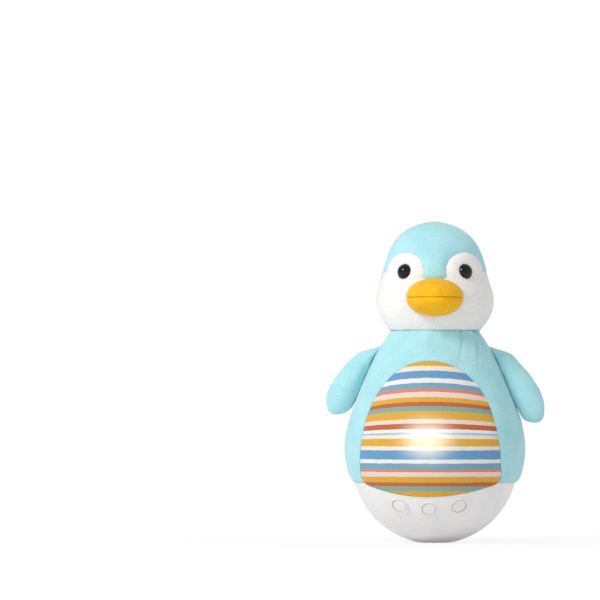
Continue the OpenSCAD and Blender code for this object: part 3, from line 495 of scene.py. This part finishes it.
def settle(obj):
    """Replaces the object's mesh by the one its modifiers give, and removes them."""
    mesh = bpy.data.meshes.new_from_object(obj.evaluated_get(bpy.context.evaluated_depsgraph_get()))
    obj.modifiers.clear()
    obj.data = mesh
    mesh.polygons.foreach_set("use_smooth", [True] * len(mesh.polygons))


def corners(obj):
    """The object's points as an array in metres."""
    found = np.zeros(len(obj.data.vertices) * 3)
    obj.data.vertices.foreach_get("co", found)
    return found.reshape(-1, 3)


def bell(d, width):
    """A smooth bump of height 1 that fades over a width."""
    return math.exp(-(d / width) ** 2)


print("a bump falls to", round(bell(1, 1), 2), "at its width")

# %% Stuffing
FRAMES = 20
AIR = 500.0
PLUSH_WEIGHT = 0.4
SMOOTHINGS = 4
FULL_SHARE = 95
PAST_FULL = 1.2


def stuff(obj, voxel, slack, bulge, held):
    """Remeshes a closed form, draws it in by slack, swells it by air with its seams held, and rounds it.

    The simulation gives where the cloth swells, and bulge how many millimetres the fullest places rise."""
    remesh = obj.modifiers.new("even", "REMESH")
    remesh.mode = "VOXEL"
    remesh.voxel_size = voxel * MM
    obj.modifiers.new("no_steps", "SMOOTH").iterations = SMOOTHINGS
    settle(obj)
    normals = np.array([v.normal for v in obj.data.vertices])
    seams = np.array([held(p) for p in corners(obj) / MM])
    rest = corners(obj) - normals * slack * MM * (1 - seams)[:, None]
    obj.data.vertices.foreach_set("co", rest.ravel())
    if bulge:
        group = obj.vertex_groups.new(name="seams")
        for i, weight in enumerate(seams):
            group.add([i], float(weight), "REPLACE")
        cloth = obj.modifiers.new("stuffing", "CLOTH")
        cloth.settings.vertex_group_mass = "seams"
        cloth.settings.mass = PLUSH_WEIGHT * (voxel * MM) ** 2
        cloth.settings.use_pressure = True
        cloth.settings.uniform_pressure_force = AIR
        cloth.settings.effector_weights.gravity = 0
        cloth.point_cache.frame_end = FRAMES
        for step in range(1, FRAMES + 1):
            scene.frame_set(step)
        settle(obj)
        scene.frame_set(1)
        moved = corners(obj) - rest
        far = np.linalg.norm(moved, axis=1)
        share = np.minimum(PAST_FULL, far / np.percentile(far, FULL_SHARE)) / np.maximum(far, 1e-9)
        obj.data.vertices.foreach_set("co", (rest + moved * share[:, None] * bulge * MM).ravel())
        print(obj.name, "swelled by up to", round(float(far.max() / MM), 2), "mm, drawn as", bulge, "mm")
    obj.modifiers.new("rounded", "SUBSURF").levels = 1
    settle(obj)


def surface_of(obj):
    """A search tree over the object's faces, for laying other pieces on it."""
    return BVHTree.FromPolygons([v.co for v in obj.data.vertices], [p.vertices for p in obj.data.polygons])


print("stuffing runs", FRAMES, "frames")

# %% Turning and cutting
NEAR_A_POINT = 0.02


def cut_along(bm, level):
    """Adds edges where level, a value of every point in millimetres, passes through zero."""
    value = {v: level(v.co / MM) for v in bm.verts}
    fresh = []
    for edge in list(bm.edges):
        a, b = edge.verts
        if value[a] * value[b] < 0:
            share = value[a] / (value[a] - value[b])
            if NEAR_A_POINT < share < 1 - NEAR_A_POINT:
                fresh.append(bmesh.utils.edge_split(edge, a, share)[1])
            else:
                value[a if share <= NEAR_A_POINT else b] = 0.0
    bmesh.ops.connect_verts(bm, verts=list({*fresh, *[v for v in value if value[v] == 0.0]}))


def turned(line, heights, around):
    """Points and faces of a body of revolution in millimetres, its seam at the back."""
    points = []
    turns = np.linspace(-math.pi, math.pi, around, endpoint=False)
    for z in heights:
        r = line(z)
        points += [(r * math.sin(t), -r * math.cos(t), z) for t in turns]
    faces = []
    for i in range(len(heights) - 1):
        for j in range(around):
            k = (j + 1) % around
            faces.append((i * around + j, i * around + k, (i + 1) * around + k, (i + 1) * around + j))
    return points, faces


def capped(points, faces, around):
    """The same with its two ends closed."""
    first, last = len(points), len(points) + 1
    ends = [tuple(np.mean(points[:around], axis=0)), tuple(np.mean(points[-around:], axis=0))]
    start = len(points) - around
    faces = faces + [((j + 1) % around, j, first) for j in range(around)]
    faces += [(start + j, start + (j + 1) % around, last) for j in range(around)]
    return points + ends, faces


def lofted(rings):
    """Points and faces of a closed form through a row of rings with equally many points."""
    n = len(rings[0])
    faces = [(i * n + j, i * n + (j + 1) % n, (i + 1) * n + (j + 1) % n, (i + 1) * n + j)
             for i in range(len(rings) - 1) for j in range(n)]
    points = [p for ring in rings for p in ring]
    faces += [tuple(range(n)), tuple(range(len(points) - n, len(points)))]
    return points, faces


def face_outwards(obj):
    """Turns all faces of a mesh the same way round, so that its normals point out."""
    bm = bmesh.new()
    bm.from_mesh(obj.data)
    bmesh.ops.recalc_face_normals(bm, faces=bm.faces)
    bm.to_mesh(obj.data)
    bm.free()


def soft_min(a, b, k):
    """The smaller of two values, rounded over a width of k."""
    h = max(k - abs(a - b), 0) / k
    return min(a, b) - h * h * k / 4


print("cuts keep", NEAR_A_POINT, "of an edge clear of its ends")

# %% [markdown]
# ## Body jacket and tummy panel
#
# The jacket is one plush tube with a window at the front, and the knit panel is sewn into the window. Both
# could be one mesh in two colours, but they are two cloths with a seam. So each is cut from the stuffed
# body along the same line, and drawn in where it is sewn. Gathers run down from the tight neck seam.

# %% The panel's seam and the stuffed body
PANEL_HALF = 57.5
PANEL_TOP = 144.5
PANEL_WIDE = 60.0
PANEL_POWER = 2.15
PANEL_HEM = 37.3
PANEL_CORNER = 7.0
HEM_SWEEP = 151.0
FAR_OUTSIDE = -50.0
FORM_AROUND = 72


def panel_level(p):
    """Millimetres inside the tummy panel's seam, below zero outside."""
    if p[1] > 0:
        return FAR_OUTSIDE
    up = max(0, (p[2] - PANEL_WIDE) / (PANEL_TOP - PANEL_WIDE))
    reach = (abs(p[0] / PANEL_HALF) ** PANEL_POWER + up ** PANEL_POWER) ** (1 / PANEL_POWER)
    hem = HEM_SWEEP - math.hypot(p[0], p[2] - PANEL_HEM - HEM_SWEEP)
    return soft_min((1 - reach) * PANEL_HALF, hem, PANEL_CORNER)


def held_body(p):
    """How firmly the body is held: at the panel's seam, at the neck and below the hem."""
    return max(bell(panel_level(p), 5), bell(p[2] - NECK, 6), 1.0 if p[2] < JACKET_HEM + 4 else 0.0)


heights = np.linspace(PANEL_HEM, NECK, 40)
points, faces = capped(*turned(body_radius, heights, FORM_AROUND), FORM_AROUND)
stuffed_body = make("stuffed_body", points, faces)
stuff(stuffed_body, 5.0, 1.2, 1.7, held_body)
body_tree = surface_of(stuffed_body)
bpy.data.objects.remove(stuffed_body)
print("body form", len(points), "points before stuffing")

# %% [markdown]
# ## Laying the cloth
#
# Cloth that is gathered into a tight neck falls in folds, and it puckers where it is sewn to stiff plastic.
# Folds could be simulated too, but these have their places in the photo. So each fold is a turn round the
# neck, a width and a depth, a ridge being a depth below zero. They fade downwards and run almost upright.

# %% Lay the body's cloth
PUCKERS = ((0.50, 44.0), (0.60, 47.0), (0.69, 47.5), (0.79, 50.0))
FOLDS = ((0.72, 0.03, 2.4), (0.98, 0.06, -1.4), (1.08, 0.03, 4.6), (1.20, 0.06, 2.4), (1.32, 0.035, 4.0))
FOLD_LONG = 34.0
FOLD_LEAN = 0.009
GATHERS = 17
GATHER_DEEP = 0.35
SEAM_DRAWN = 1.1
BACK_SEAM_DRAWN = 0.8
PUCKER_DEEP = 1.3
LUMP = 0.5
LUMP_MM = 21


def gathers(turn, z):
    """Depth of the folds that run down from the neck, deepest at the toy's left of the throat."""
    fall = max(0, 1 - (NECK - z) / FOLD_LONG) ** 1.5 if z <= NECK else 1
    deep = sum(d * bell(turn - t + FOLD_LEAN * (NECK - z), w) for t, w, d in FOLDS)
    return fall * (deep + GATHER_DEEP * (1 + math.sin(GATHERS * turn + 1.3 * math.sin(3 * turn))))


def lay_on_body(p, drop):
    """Moves a point of the body's cloth onto the stuffed form, drawn in at seams and folds."""
    z = min(p[2], NECK - 0.4)
    turn = math.atan2(p[0], -p[1])
    out = Vector((math.sin(turn), -math.cos(turn), 0))
    hit = body_tree.ray_cast(Vector((0, 0, z * MM)), out)[0]
    r = hit.to_2d().length / MM if hit else body_radius(z)
    share = max(0, min(1, (z - JACKET_HEM) / 6, (NECK - z) / 7))
    r = body_radius(z) * (1 - share) + r * share
    r -= drop + SEAM_DRAWN * bell(panel_level(p), 2.4) + gathers(turn, z)
    r -= BACK_SEAM_DRAWN * bell(abs(turn) - math.pi, 0.03)
    r -= sum(PUCKER_DEEP * bell(turn - t, 0.022) * bell(z - low, 4) for t, low in PUCKERS)
    r += LUMP * noise.noise(Vector(p) / LUMP_MM)
    return out.x * r, out.y * r, p[2]


def jacket_radius(p):
    """Radius of the laid jacket at a point's height and turn."""
    return math.hypot(*lay_on_body(p, 0.0)[:2])


print("folds", len(FOLDS), "puckers", len(PUCKERS))

# %% [markdown]
# ## Cutting the cloth
#
# A cutter lays the pattern on the cloth and cuts along its line, and a sewer turns the edges in. So a skin
# is turned on the outline, cut along a seam, laid on the stuffed form and given its thickness. At the neck
# its edge turns inwards, and at the hem it curls under, but never into the base.

# %% Cut a cloth
HEM_CURL = 1.3
CURL_HIGH = 3.0
NECK_TURNS = (0.94, 0.84)
CLEAR_OF_BASE = 0.15
SAME_POINT = 0.02
POLE_HIGH = 4.0
NECK_EDGE = 0.6


def turn_in_the_neck(bm):
    """Extrudes the open edge at the neck inwards, ring by ring."""
    ring = [e for e in bm.edges
            if e.is_boundary and all(abs(v.co.z / MM - NECK) < NECK_EDGE for v in e.verts)]
    for inward in NECK_TURNS if ring else ():
        fresh = bmesh.ops.extrude_edge_only(bm, edges=ring)["geom"]
        for v in [g for g in fresh if isinstance(g, bmesh.types.BMVert)]:
            v.co.x, v.co.y = v.co.x * inward, v.co.y * inward
        edges = [g for g in fresh if isinstance(g, bmesh.types.BMEdge)]
        ring = [e for e in edges if e.is_boundary and all(w in fresh for w in e.verts)]


def cut_cloth(name, heights, around, line, level, side, lay, finish, thick):
    """Turns a skin, cuts it along a seam, keeps one side, lays it on its form and gives it thickness."""
    obj = make(name, *turned(line, heights, around), finish)
    bm = bmesh.new()
    bm.from_mesh(obj.data)
    bmesh.ops.remove_doubles(bm, verts=bm.verts, dist=SAME_POINT * MM)
    cut_along(bm, level)
    wrong = [f for f in bm.faces if level(f.calc_center_median() / MM) * side < 0]
    bmesh.ops.delete(bm, geom=wrong, context="FACES")
    for v in bm.verts:
        v.co = Vector(lay(v.co / MM)) * MM
    pole = [e for e in bm.edges
            if e.is_boundary and all(v.co.z / MM > HEAD_TOP - POLE_HIGH for v in e.verts)]
    bmesh.ops.holes_fill(bm, edges=pole)
    turn_in_the_neck(bm)
    bmesh.ops.recalc_face_normals(bm, faces=bm.faces)
    bm.to_mesh(obj.data)
    bm.free()
    if sum((Vector(p.center) - Vector((0, 0, p.center.z))).dot(p.normal) for p in obj.data.polygons) < 0:
        obj.data.flip_normals()
    shell = obj.modifiers.new("cloth", "SOLIDIFY")
    shell.thickness = thick * MM
    shell.offset = -1
    settle(obj)
    for v in obj.data.vertices:
        z, r = v.co.z / MM, math.hypot(v.co.x, v.co.y) / MM
        hem = max(0, 1 - (z - JACKET_HEM) / CURL_HIGH) if side < 0 else 0
        least = ball_at(z) + CLEAR_OF_BASE if z < BALL_Z else 0
        v.co.x, v.co.y = (c * max(r - HEM_CURL * hem ** 2, least) / r for c in (v.co.x, v.co.y))
    return obj


print("hem curls under by", HEM_CURL, "mm")

# %% Jacket and tummy panel
AROUND = 360
PLUSH_THICK = 1.6
KNIT_THICK = 0.9
KNIT_DROP = 0.5

jacket = cut_cloth("body_jacket_plush", np.linspace(JACKET_HEM, NECK, 88), AROUND, body_radius,
                   panel_level, -1, lambda p: lay_on_body(p, 0.0), aqua_plush, PLUSH_THICK)
panel = cut_cloth("tummy_panel_knit", np.linspace(PANEL_HEM - 0.8, PANEL_TOP + 1, 84), AROUND, body_radius,
                  panel_level, 1, lambda p: lay_on_body(p, KNIT_DROP), knit, KNIT_THICK)
for piece, node, slot in ((jacket, "body_jacket", "aqua_plush"), (panel, "tummy_panel", "striped_knit")):
    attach(piece, "toy")
    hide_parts(node)
print("body cloths", len(jacket.data.vertices), len(panel.data.vertices), "points")

# %% [markdown]
# ## The panel on the cutting table
#
# Before it was sewn in, the panel lay flat. A tailor would unpick it to find its size. Here each point's
# place on the table is worked out: how far up the body's curve it lies, and how far round. The stripes
# bow up a little near the top, where the cloth is pulled over the chest.

# %% Flat cut of the panel
BOW = 0.0028
BOW_FROM = 78.0
BOW_OVER = 60.0
STEPS = np.linspace(PANEL_HEM, PANEL_TOP + 2, 120)

along_body = [0.0]
for low, high in zip(STEPS, STEPS[1:]):
    along_body.append(along_body[-1] + math.hypot(high - low, body_radius(high) - body_radius(low)))
flat_cut = panel.data.attributes.new("flat_cut", "FLOAT_VECTOR", "POINT")
for i, v in enumerate(panel.data.vertices):
    turn = math.atan2(v.co.x, -v.co.y)
    z = v.co.z / MM
    up = np.interp(z, STEPS, along_body)
    rise = BOW * max(0, z - BOW_FROM) / BOW_OVER
    across = turn * body_radius(z)
    flat_cut.data[i].vector = (across * MM, (up + rise * across * across) * MM, 0)
flat_at = np.array([place.vector for place in flat_cut.data])[:, :2]
flat_size = np.ptp(flat_at, axis=0)

# %% [markdown]
# ## Head
#
# The head is a white face panel with two round eye lobes, sewn into an aqua crown that comes to a point
# between them. A painted line would do from afar, but a seam draws the stuffing in. So the head is stuffed
# as one form with that seam held, and crown and face are cut from it along the same line.

# %% The face's seam and the stuffed head
LOBE = Vector((24.2, 216.6))
LOBE_R = 15.0
LOBE_TURN = math.radians(30)
PEAK = 207.0
FACE_BACK = 5.0
FACE_CORNER = 12.0
CHEEK_CORNER = 2.0
BELOW_PEAK = 4.0


def face_on(p):
    """A point as seen when the head looks straight ahead."""
    c, s = math.cos(-HEAD_TURN), math.sin(-HEAD_TURN)
    return Vector((c * p[0] - s * p[1], s * p[0] + c * p[1], p[2]))


def face_level(p):
    """Millimetres inside the face panel's seam, below zero outside."""
    q = face_on(p)
    across = abs(q.x)
    lobe = LOBE_R - math.hypot(across - LOBE.x, q.z - LOBE.y)
    edge = LOBE + LOBE_R * Vector((math.cos(LOBE_TURN), math.sin(LOBE_TURN)))
    cheek = -((across - edge.x) * math.cos(LOBE_TURN) + (q.z - edge.y) * math.sin(LOBE_TURN))
    top = Vector((LOBE.x, LOBE.y - PEAK)).normalized()
    brow = (across * top.y - (q.z - PEAK) * top.x) if across < LOBE.x else LOBE.y - q.z
    if q.z > PEAK - BELOW_PEAK:
        front = max(lobe, soft_min(cheek, brow, CHEEK_CORNER))
    else:
        front = soft_min(cheek, max(brow, lobe, BELOW_PEAK), CHEEK_CORNER)
    return soft_min(front, FACE_BACK - q.y, FACE_CORNER)


def held_head(p):
    """How firmly the head is held: at the face's seam and at the neck."""
    return max(bell(face_level(p), 4), bell(p[2] - HEAD_LOW, 5))


def head_heights(count, short):
    """Heights up the head that crowd towards its top and end a little short of it."""
    return HEAD_LOW + (HEAD_TOP - short - HEAD_LOW) * np.sin(np.linspace(0, math.pi / 2, count))


points, faces = capped(*turned(head_line, head_heights(34, 0.2), FORM_AROUND), FORM_AROUND)
stuffed_head = make("stuffed_head", points, faces)
stuff(stuffed_head, 4.0, 1.0, 1.5, held_head)
head_tree = surface_of(stuffed_head)
bpy.data.objects.remove(stuffed_head)
print("head form", len(points), "points before stuffing")

# %% Crown and face
HEAD_CLOTHS = (("head_crown", -1, aqua_plush, "aqua_plush"), ("face_panel", 1, white_plush, "white_plush"))
HEAD_MIDDLE = Vector((0, 0, 205.0))
HEAD_AROUND = 220
EYE = Vector((24.4, 215.6))
FACE_SEAM_DRAWN = 1.0
EYE_DRAWN = 0.9
EYE_DRAWN_WIDE = 7.0
CHIN_DRAWN = 0.8
CHIN_TOP = 178.0
POLL_DRAWN = 0.7
HEAD_LUMP = 0.45
HEAD_LUMP_MM = 17


def lay_on_head(p):
    """Moves a point of the head's cloth onto the stuffed form, drawn in at seams and round the eyes."""
    away = Vector(p) - HEAD_MIDDLE
    hit = head_tree.ray_cast(HEAD_MIDDLE * MM, away.normalized())[0]
    far = (hit / MM - HEAD_MIDDLE).length if hit else away.length
    far += HEAD_LUMP * noise.noise(Vector(p) / HEAD_LUMP_MM) - FACE_SEAM_DRAWN * bell(face_level(p), 1.9)
    q = face_on(p)
    if q.y < 0:
        far -= EYE_DRAWN * bell(math.hypot(abs(q.x) - EYE.x, q.z - EYE.y), EYE_DRAWN_WIDE)
        far -= CHIN_DRAWN * bell(q.x, 1.3) * bell(max(0, q.z - CHIN_TOP), 3)
    elif q.y > FACE_BACK + 4:
        far -= POLL_DRAWN * bell(q.x, 1.4)
    far = away.length + (far - away.length) * min(1, (p[2] - HEAD_LOW) / 9)
    return HEAD_MIDDLE + away.normalized() * far


heights = head_heights(84, 0.02)
for node, side, cloth, slot in HEAD_CLOTHS:
    piece = cut_cloth(f"{node}_plush", heights, HEAD_AROUND, head_line, face_level, side,
                      lay_on_head, cloth, PLUSH_THICK)
    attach(piece, "toy")
    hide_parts(node)

# %% [markdown]
# ## Beak
#
# The beak is two stuffed halves that meet on one seam. A half could be scaled from a sphere, but a sewn
# half lies on the face, is widest at its seam and swells forward. So each is lofted from sections that
# start on the face, and rounded. So small a form is too stiff to swell, so it needs no simulation.

# %% Beak halves
BEAK_Z = 194.8
BEAK_WIDE = 46.0
BEAK_TALL = 31.0
BEAK_DEEP = 24.0
BEAK_GAP = 0.2
BEAK_ACROSS = np.radians(np.arange(-84, 85, 7))
ON_THE_FACE = [(i / 4, 0) for i in range(5)]
SWELLING = [(math.sin(a), math.cos(a)) for a in np.radians(range(75, -1, -15))]


def beak_form(side):
    """Points and faces of one half, section by section across the beak."""
    c, s = math.cos(HEAD_TURN), math.sin(HEAD_TURN)
    rings = []
    for turn in BEAK_ACROSS:
        x, tall = BEAK_WIDE / 2 * math.sin(turn), BEAK_TALL / 2 * math.cos(turn)
        deep = BEAK_DEEP * math.cos(turn) ** 0.9
        ring = []
        for share, swell in ON_THE_FACE + SWELLING:
            z = BEAK_Z + side * tall * share
            y = -math.sqrt(max(head_line(z) ** 2 - x * x, 0)) - BEAK_GAP - deep * swell
            ring.append((c * x - s * y, s * x + c * y, z))
        rings.append(ring)
    return lofted(rings)


for name, side in (("beak_upper", 1), ("beak_lower", -1)):
    half = make(name + "_plush", *beak_form(side), yellow_plush)
    face_outwards(half)
    # With no slack and no bulge this only remeshes and rounds the half, held all over.
    stuff(half, 1.0, 0.0, 0.0, lambda p: 1.0)
    half.data.materials.clear()
    half.data.materials.append(yellow_plush)
    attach(half, "toy")
    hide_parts(name)

# %% [markdown]
# ## Wings
#
# Each wing is two plush leaves sewn round their edge, turned and stuffed, then sewn to the shoulder at its
# root. It could be a bent capsule, but a sewn leaf is plump in the middle and thinner at its seam. So it is
# lofted along its hanging line, stuffed with the edge seam held, and its root is drawn onto the shoulder.
# Sewn by hand, the two hang a little differently and aren't quite the same length.

# %% Wing form
SHOULDER = Vector((48.6, 0, 154.5))
WING_WIDE = 33.0
WING_THICK = 25.0
WING_LONG = {"left": 70.0, "right": 64.0}
HANG = {"left": math.radians(31), "right": math.radians(34)}
ROOT_RING = -0.08
ROOT_TURNED_IN = 6.0
ROOT_FULL = 0.8
WING_RINGS = [ROOT_RING, *np.sin(np.linspace(0, 1, 22) * math.pi / 2) * 0.994]
OFF_THE_JACKET = 0.2


def wing_form(hang, side, long):
    """Points and faces of a wing, from rings along its hanging line, clear of the body."""
    along = Vector((math.sin(hang), 0, -math.cos(hang)))
    wide = Vector((math.cos(hang), 0, math.sin(hang)))
    rings = []
    for share in WING_RINGS:
        down = max(share, 0)
        middle = SHOULDER + along * down * long
        rounded, root = math.sqrt(min(1, (down + 0.06) / 0.14)), (1 - share) ** 3
        if share == ROOT_RING:
            rounded = root = ROOT_FULL
            middle.x -= ROOT_TURNED_IN
        full = math.sqrt(1 - share ** 4) * rounded / 2
        half_wide, half_thick = WING_WIDE * full * (1 - 0.3 * root), WING_THICK * full * (1 - 0.4 * root)
        sloped = 1 - 0.4 * (1 - down) ** 2.5
        ring = []
        for a in np.linspace(0, 2 * math.pi, 32, endpoint=False):
            p = middle + wide * half_wide * math.cos(a) * (sloped if math.cos(a) > 0 else 1)
            p.y += half_thick * math.sin(a)
            grow = max(1, (jacket_radius(p) + OFF_THE_JACKET) / math.hypot(p.x, p.y))
            ring.append((side * grow * p.x, grow * p.y, p.z))
        rings.append(ring)
    return lofted(rings)


def held_wing(p):
    """How firmly a wing is held: at its edge seam and at its root."""
    return max(bell(p[1], 2.0), bell(math.hypot(abs(p[0]) - SHOULDER.x, p[2] - SHOULDER.z), 12))


print("wing lengths", WING_LONG)

# %% Stuff the wings and sew them on
EDGE_DRAWN = 0.7
WING_LUMP = 0.4
WING_LUMP_MM = 14
SEWN_FROM = -2.0
SEWN_OVER = 12.0
SUNK = 0.9
LIES_OFF = 0.15

for name, side in (("left", 1), ("right", -1)):
    hang = HANG[name]
    wing = make(f"wing_{name}_plush", *wing_form(hang, side, WING_LONG[name]), aqua_plush)
    face_outwards(wing)
    stuff(wing, 3.0, 0.7, 1.3, held_wing)
    wing.data.materials.clear()
    wing.data.materials.append(aqua_plush)
    for v in wing.data.vertices:
        p = v.co / MM
        p += v.normal * (WING_LUMP * noise.noise(p / WING_LUMP_MM) - EDGE_DRAWN * bell(p.y, 1.5))
        down = (abs(p.x) - SHOULDER.x) * math.sin(hang) - (p.z - SHOULDER.z) * math.cos(hang)
        loose = min(1, max(0, (down - SEWN_FROM) / SEWN_OVER))
        skin = (jacket_radius(p) + LIES_OFF - SUNK * (1 - loose)) / math.hypot(p.x, p.y)
        grow = skin if skin > 1 else skin + (1 - skin) * loose * loose * (3 - 2 * loose)
        v.co = Vector((p.x * grow, p.y * grow, p.z)) * MM
    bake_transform(wing)
    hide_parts(f"wing_{name}")

# %% [markdown]
# ## Rubber domes
#
# Under each button sits a silicone dome that folds when the button goes in and pushes it back. A stiff dome
# could ride with the board, but the button would pass through it. So each is a soft copy of its solid,
# put in the solid's place, and the line from its middle to its button is worked out.

# %% Rubber domes
def soft_copy(node, finish):
    """A copy of a solid that may change its shape, in a finish of its own."""
    piece = cad_node[node].copy()
    piece.data = cad_node[node].data.copy()
    for key in list(piece.keys()):
        del piece[key]
    piece.name = node + "_soft"
    piece.parent = None
    scene.collection.objects.link(piece)
    piece.data.materials.clear()
    piece.data.materials.append(finish)
    return piece


for side in ("left", "middle", "right"):
    dome = soft_copy(f"rubber_dome_{side}", silicone)
    points = corners(dome)
    middle = points.mean(axis=0)
    axis = corners(cad_node[f"button_{side}"]).mean(axis=0) - middle
    axis /= np.linalg.norm(axis)
    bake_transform(dome)
    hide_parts(f"rubber_dome_{side}")

# %% [markdown]
# ## Filling and elastic
#
# Under the plush lies polyester fibre, lumpy where it was pushed in, and an elastic band draws the hem onto
# the base. Nobody sees them from outside, but the toy isn't whole without them. The solids could stay as
# they are, but they would be too smooth. So soft copies take their place: the filling is pushed in by
# noise, and the band by fine ribs.

# %% Filling and elastic
UNDER_THE_CLOTH = 4.5
FIBRE_LUMP = 0.5
RIBS = 180
RIB_DEEP = 0.12
# Loose white fibre: large tufts and wide patches, with no shine.
fibre = plush("white_polyester_fibre", "#FAFAF6", "#EFEFEA", tuft_mm=2.5, patch_mm=20)
# Woven elastic: dull white with a coarse grain.
woven_elastic = hard("woven_white_elastic", "#F5F5F0", "#E6E6E0", 0.8, 0.8, relief=0.6)


def hidden_piece(node, finish, depth):
    """Puts a soft copy in a hidden solid's place, with each point pushed in by its depth there."""
    piece = soft_copy(node, finish)
    for v in piece.data.vertices:
        p = v.co / MM
        v.co = (p - Vector((p.x, p.y, 0)).normalized() * depth(p)) * MM
    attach(piece, "toy")
    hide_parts(node)
    print(node, len(piece.data.vertices), "points")


for node, lump_mm in (("body_filling", 11), ("head_filling", 9)):
    hidden_piece(node, fibre, lambda p: UNDER_THE_CLOTH + FIBRE_LUMP * abs(noise.noise(p / lump_mm)))
hidden_piece("hem_elastic", woven_elastic,
             lambda p: RIB_DEEP * (1 + math.sin(RIBS * math.atan2(p.x, -p.y))))

# %% [markdown]
# ## The panel's size on the cutting table
#
# The tummy panel's width and height on the cutting table, in metres and rounded to a tenth of a millimetre.

flat = [round(float(c), 4) for c in flat_size]
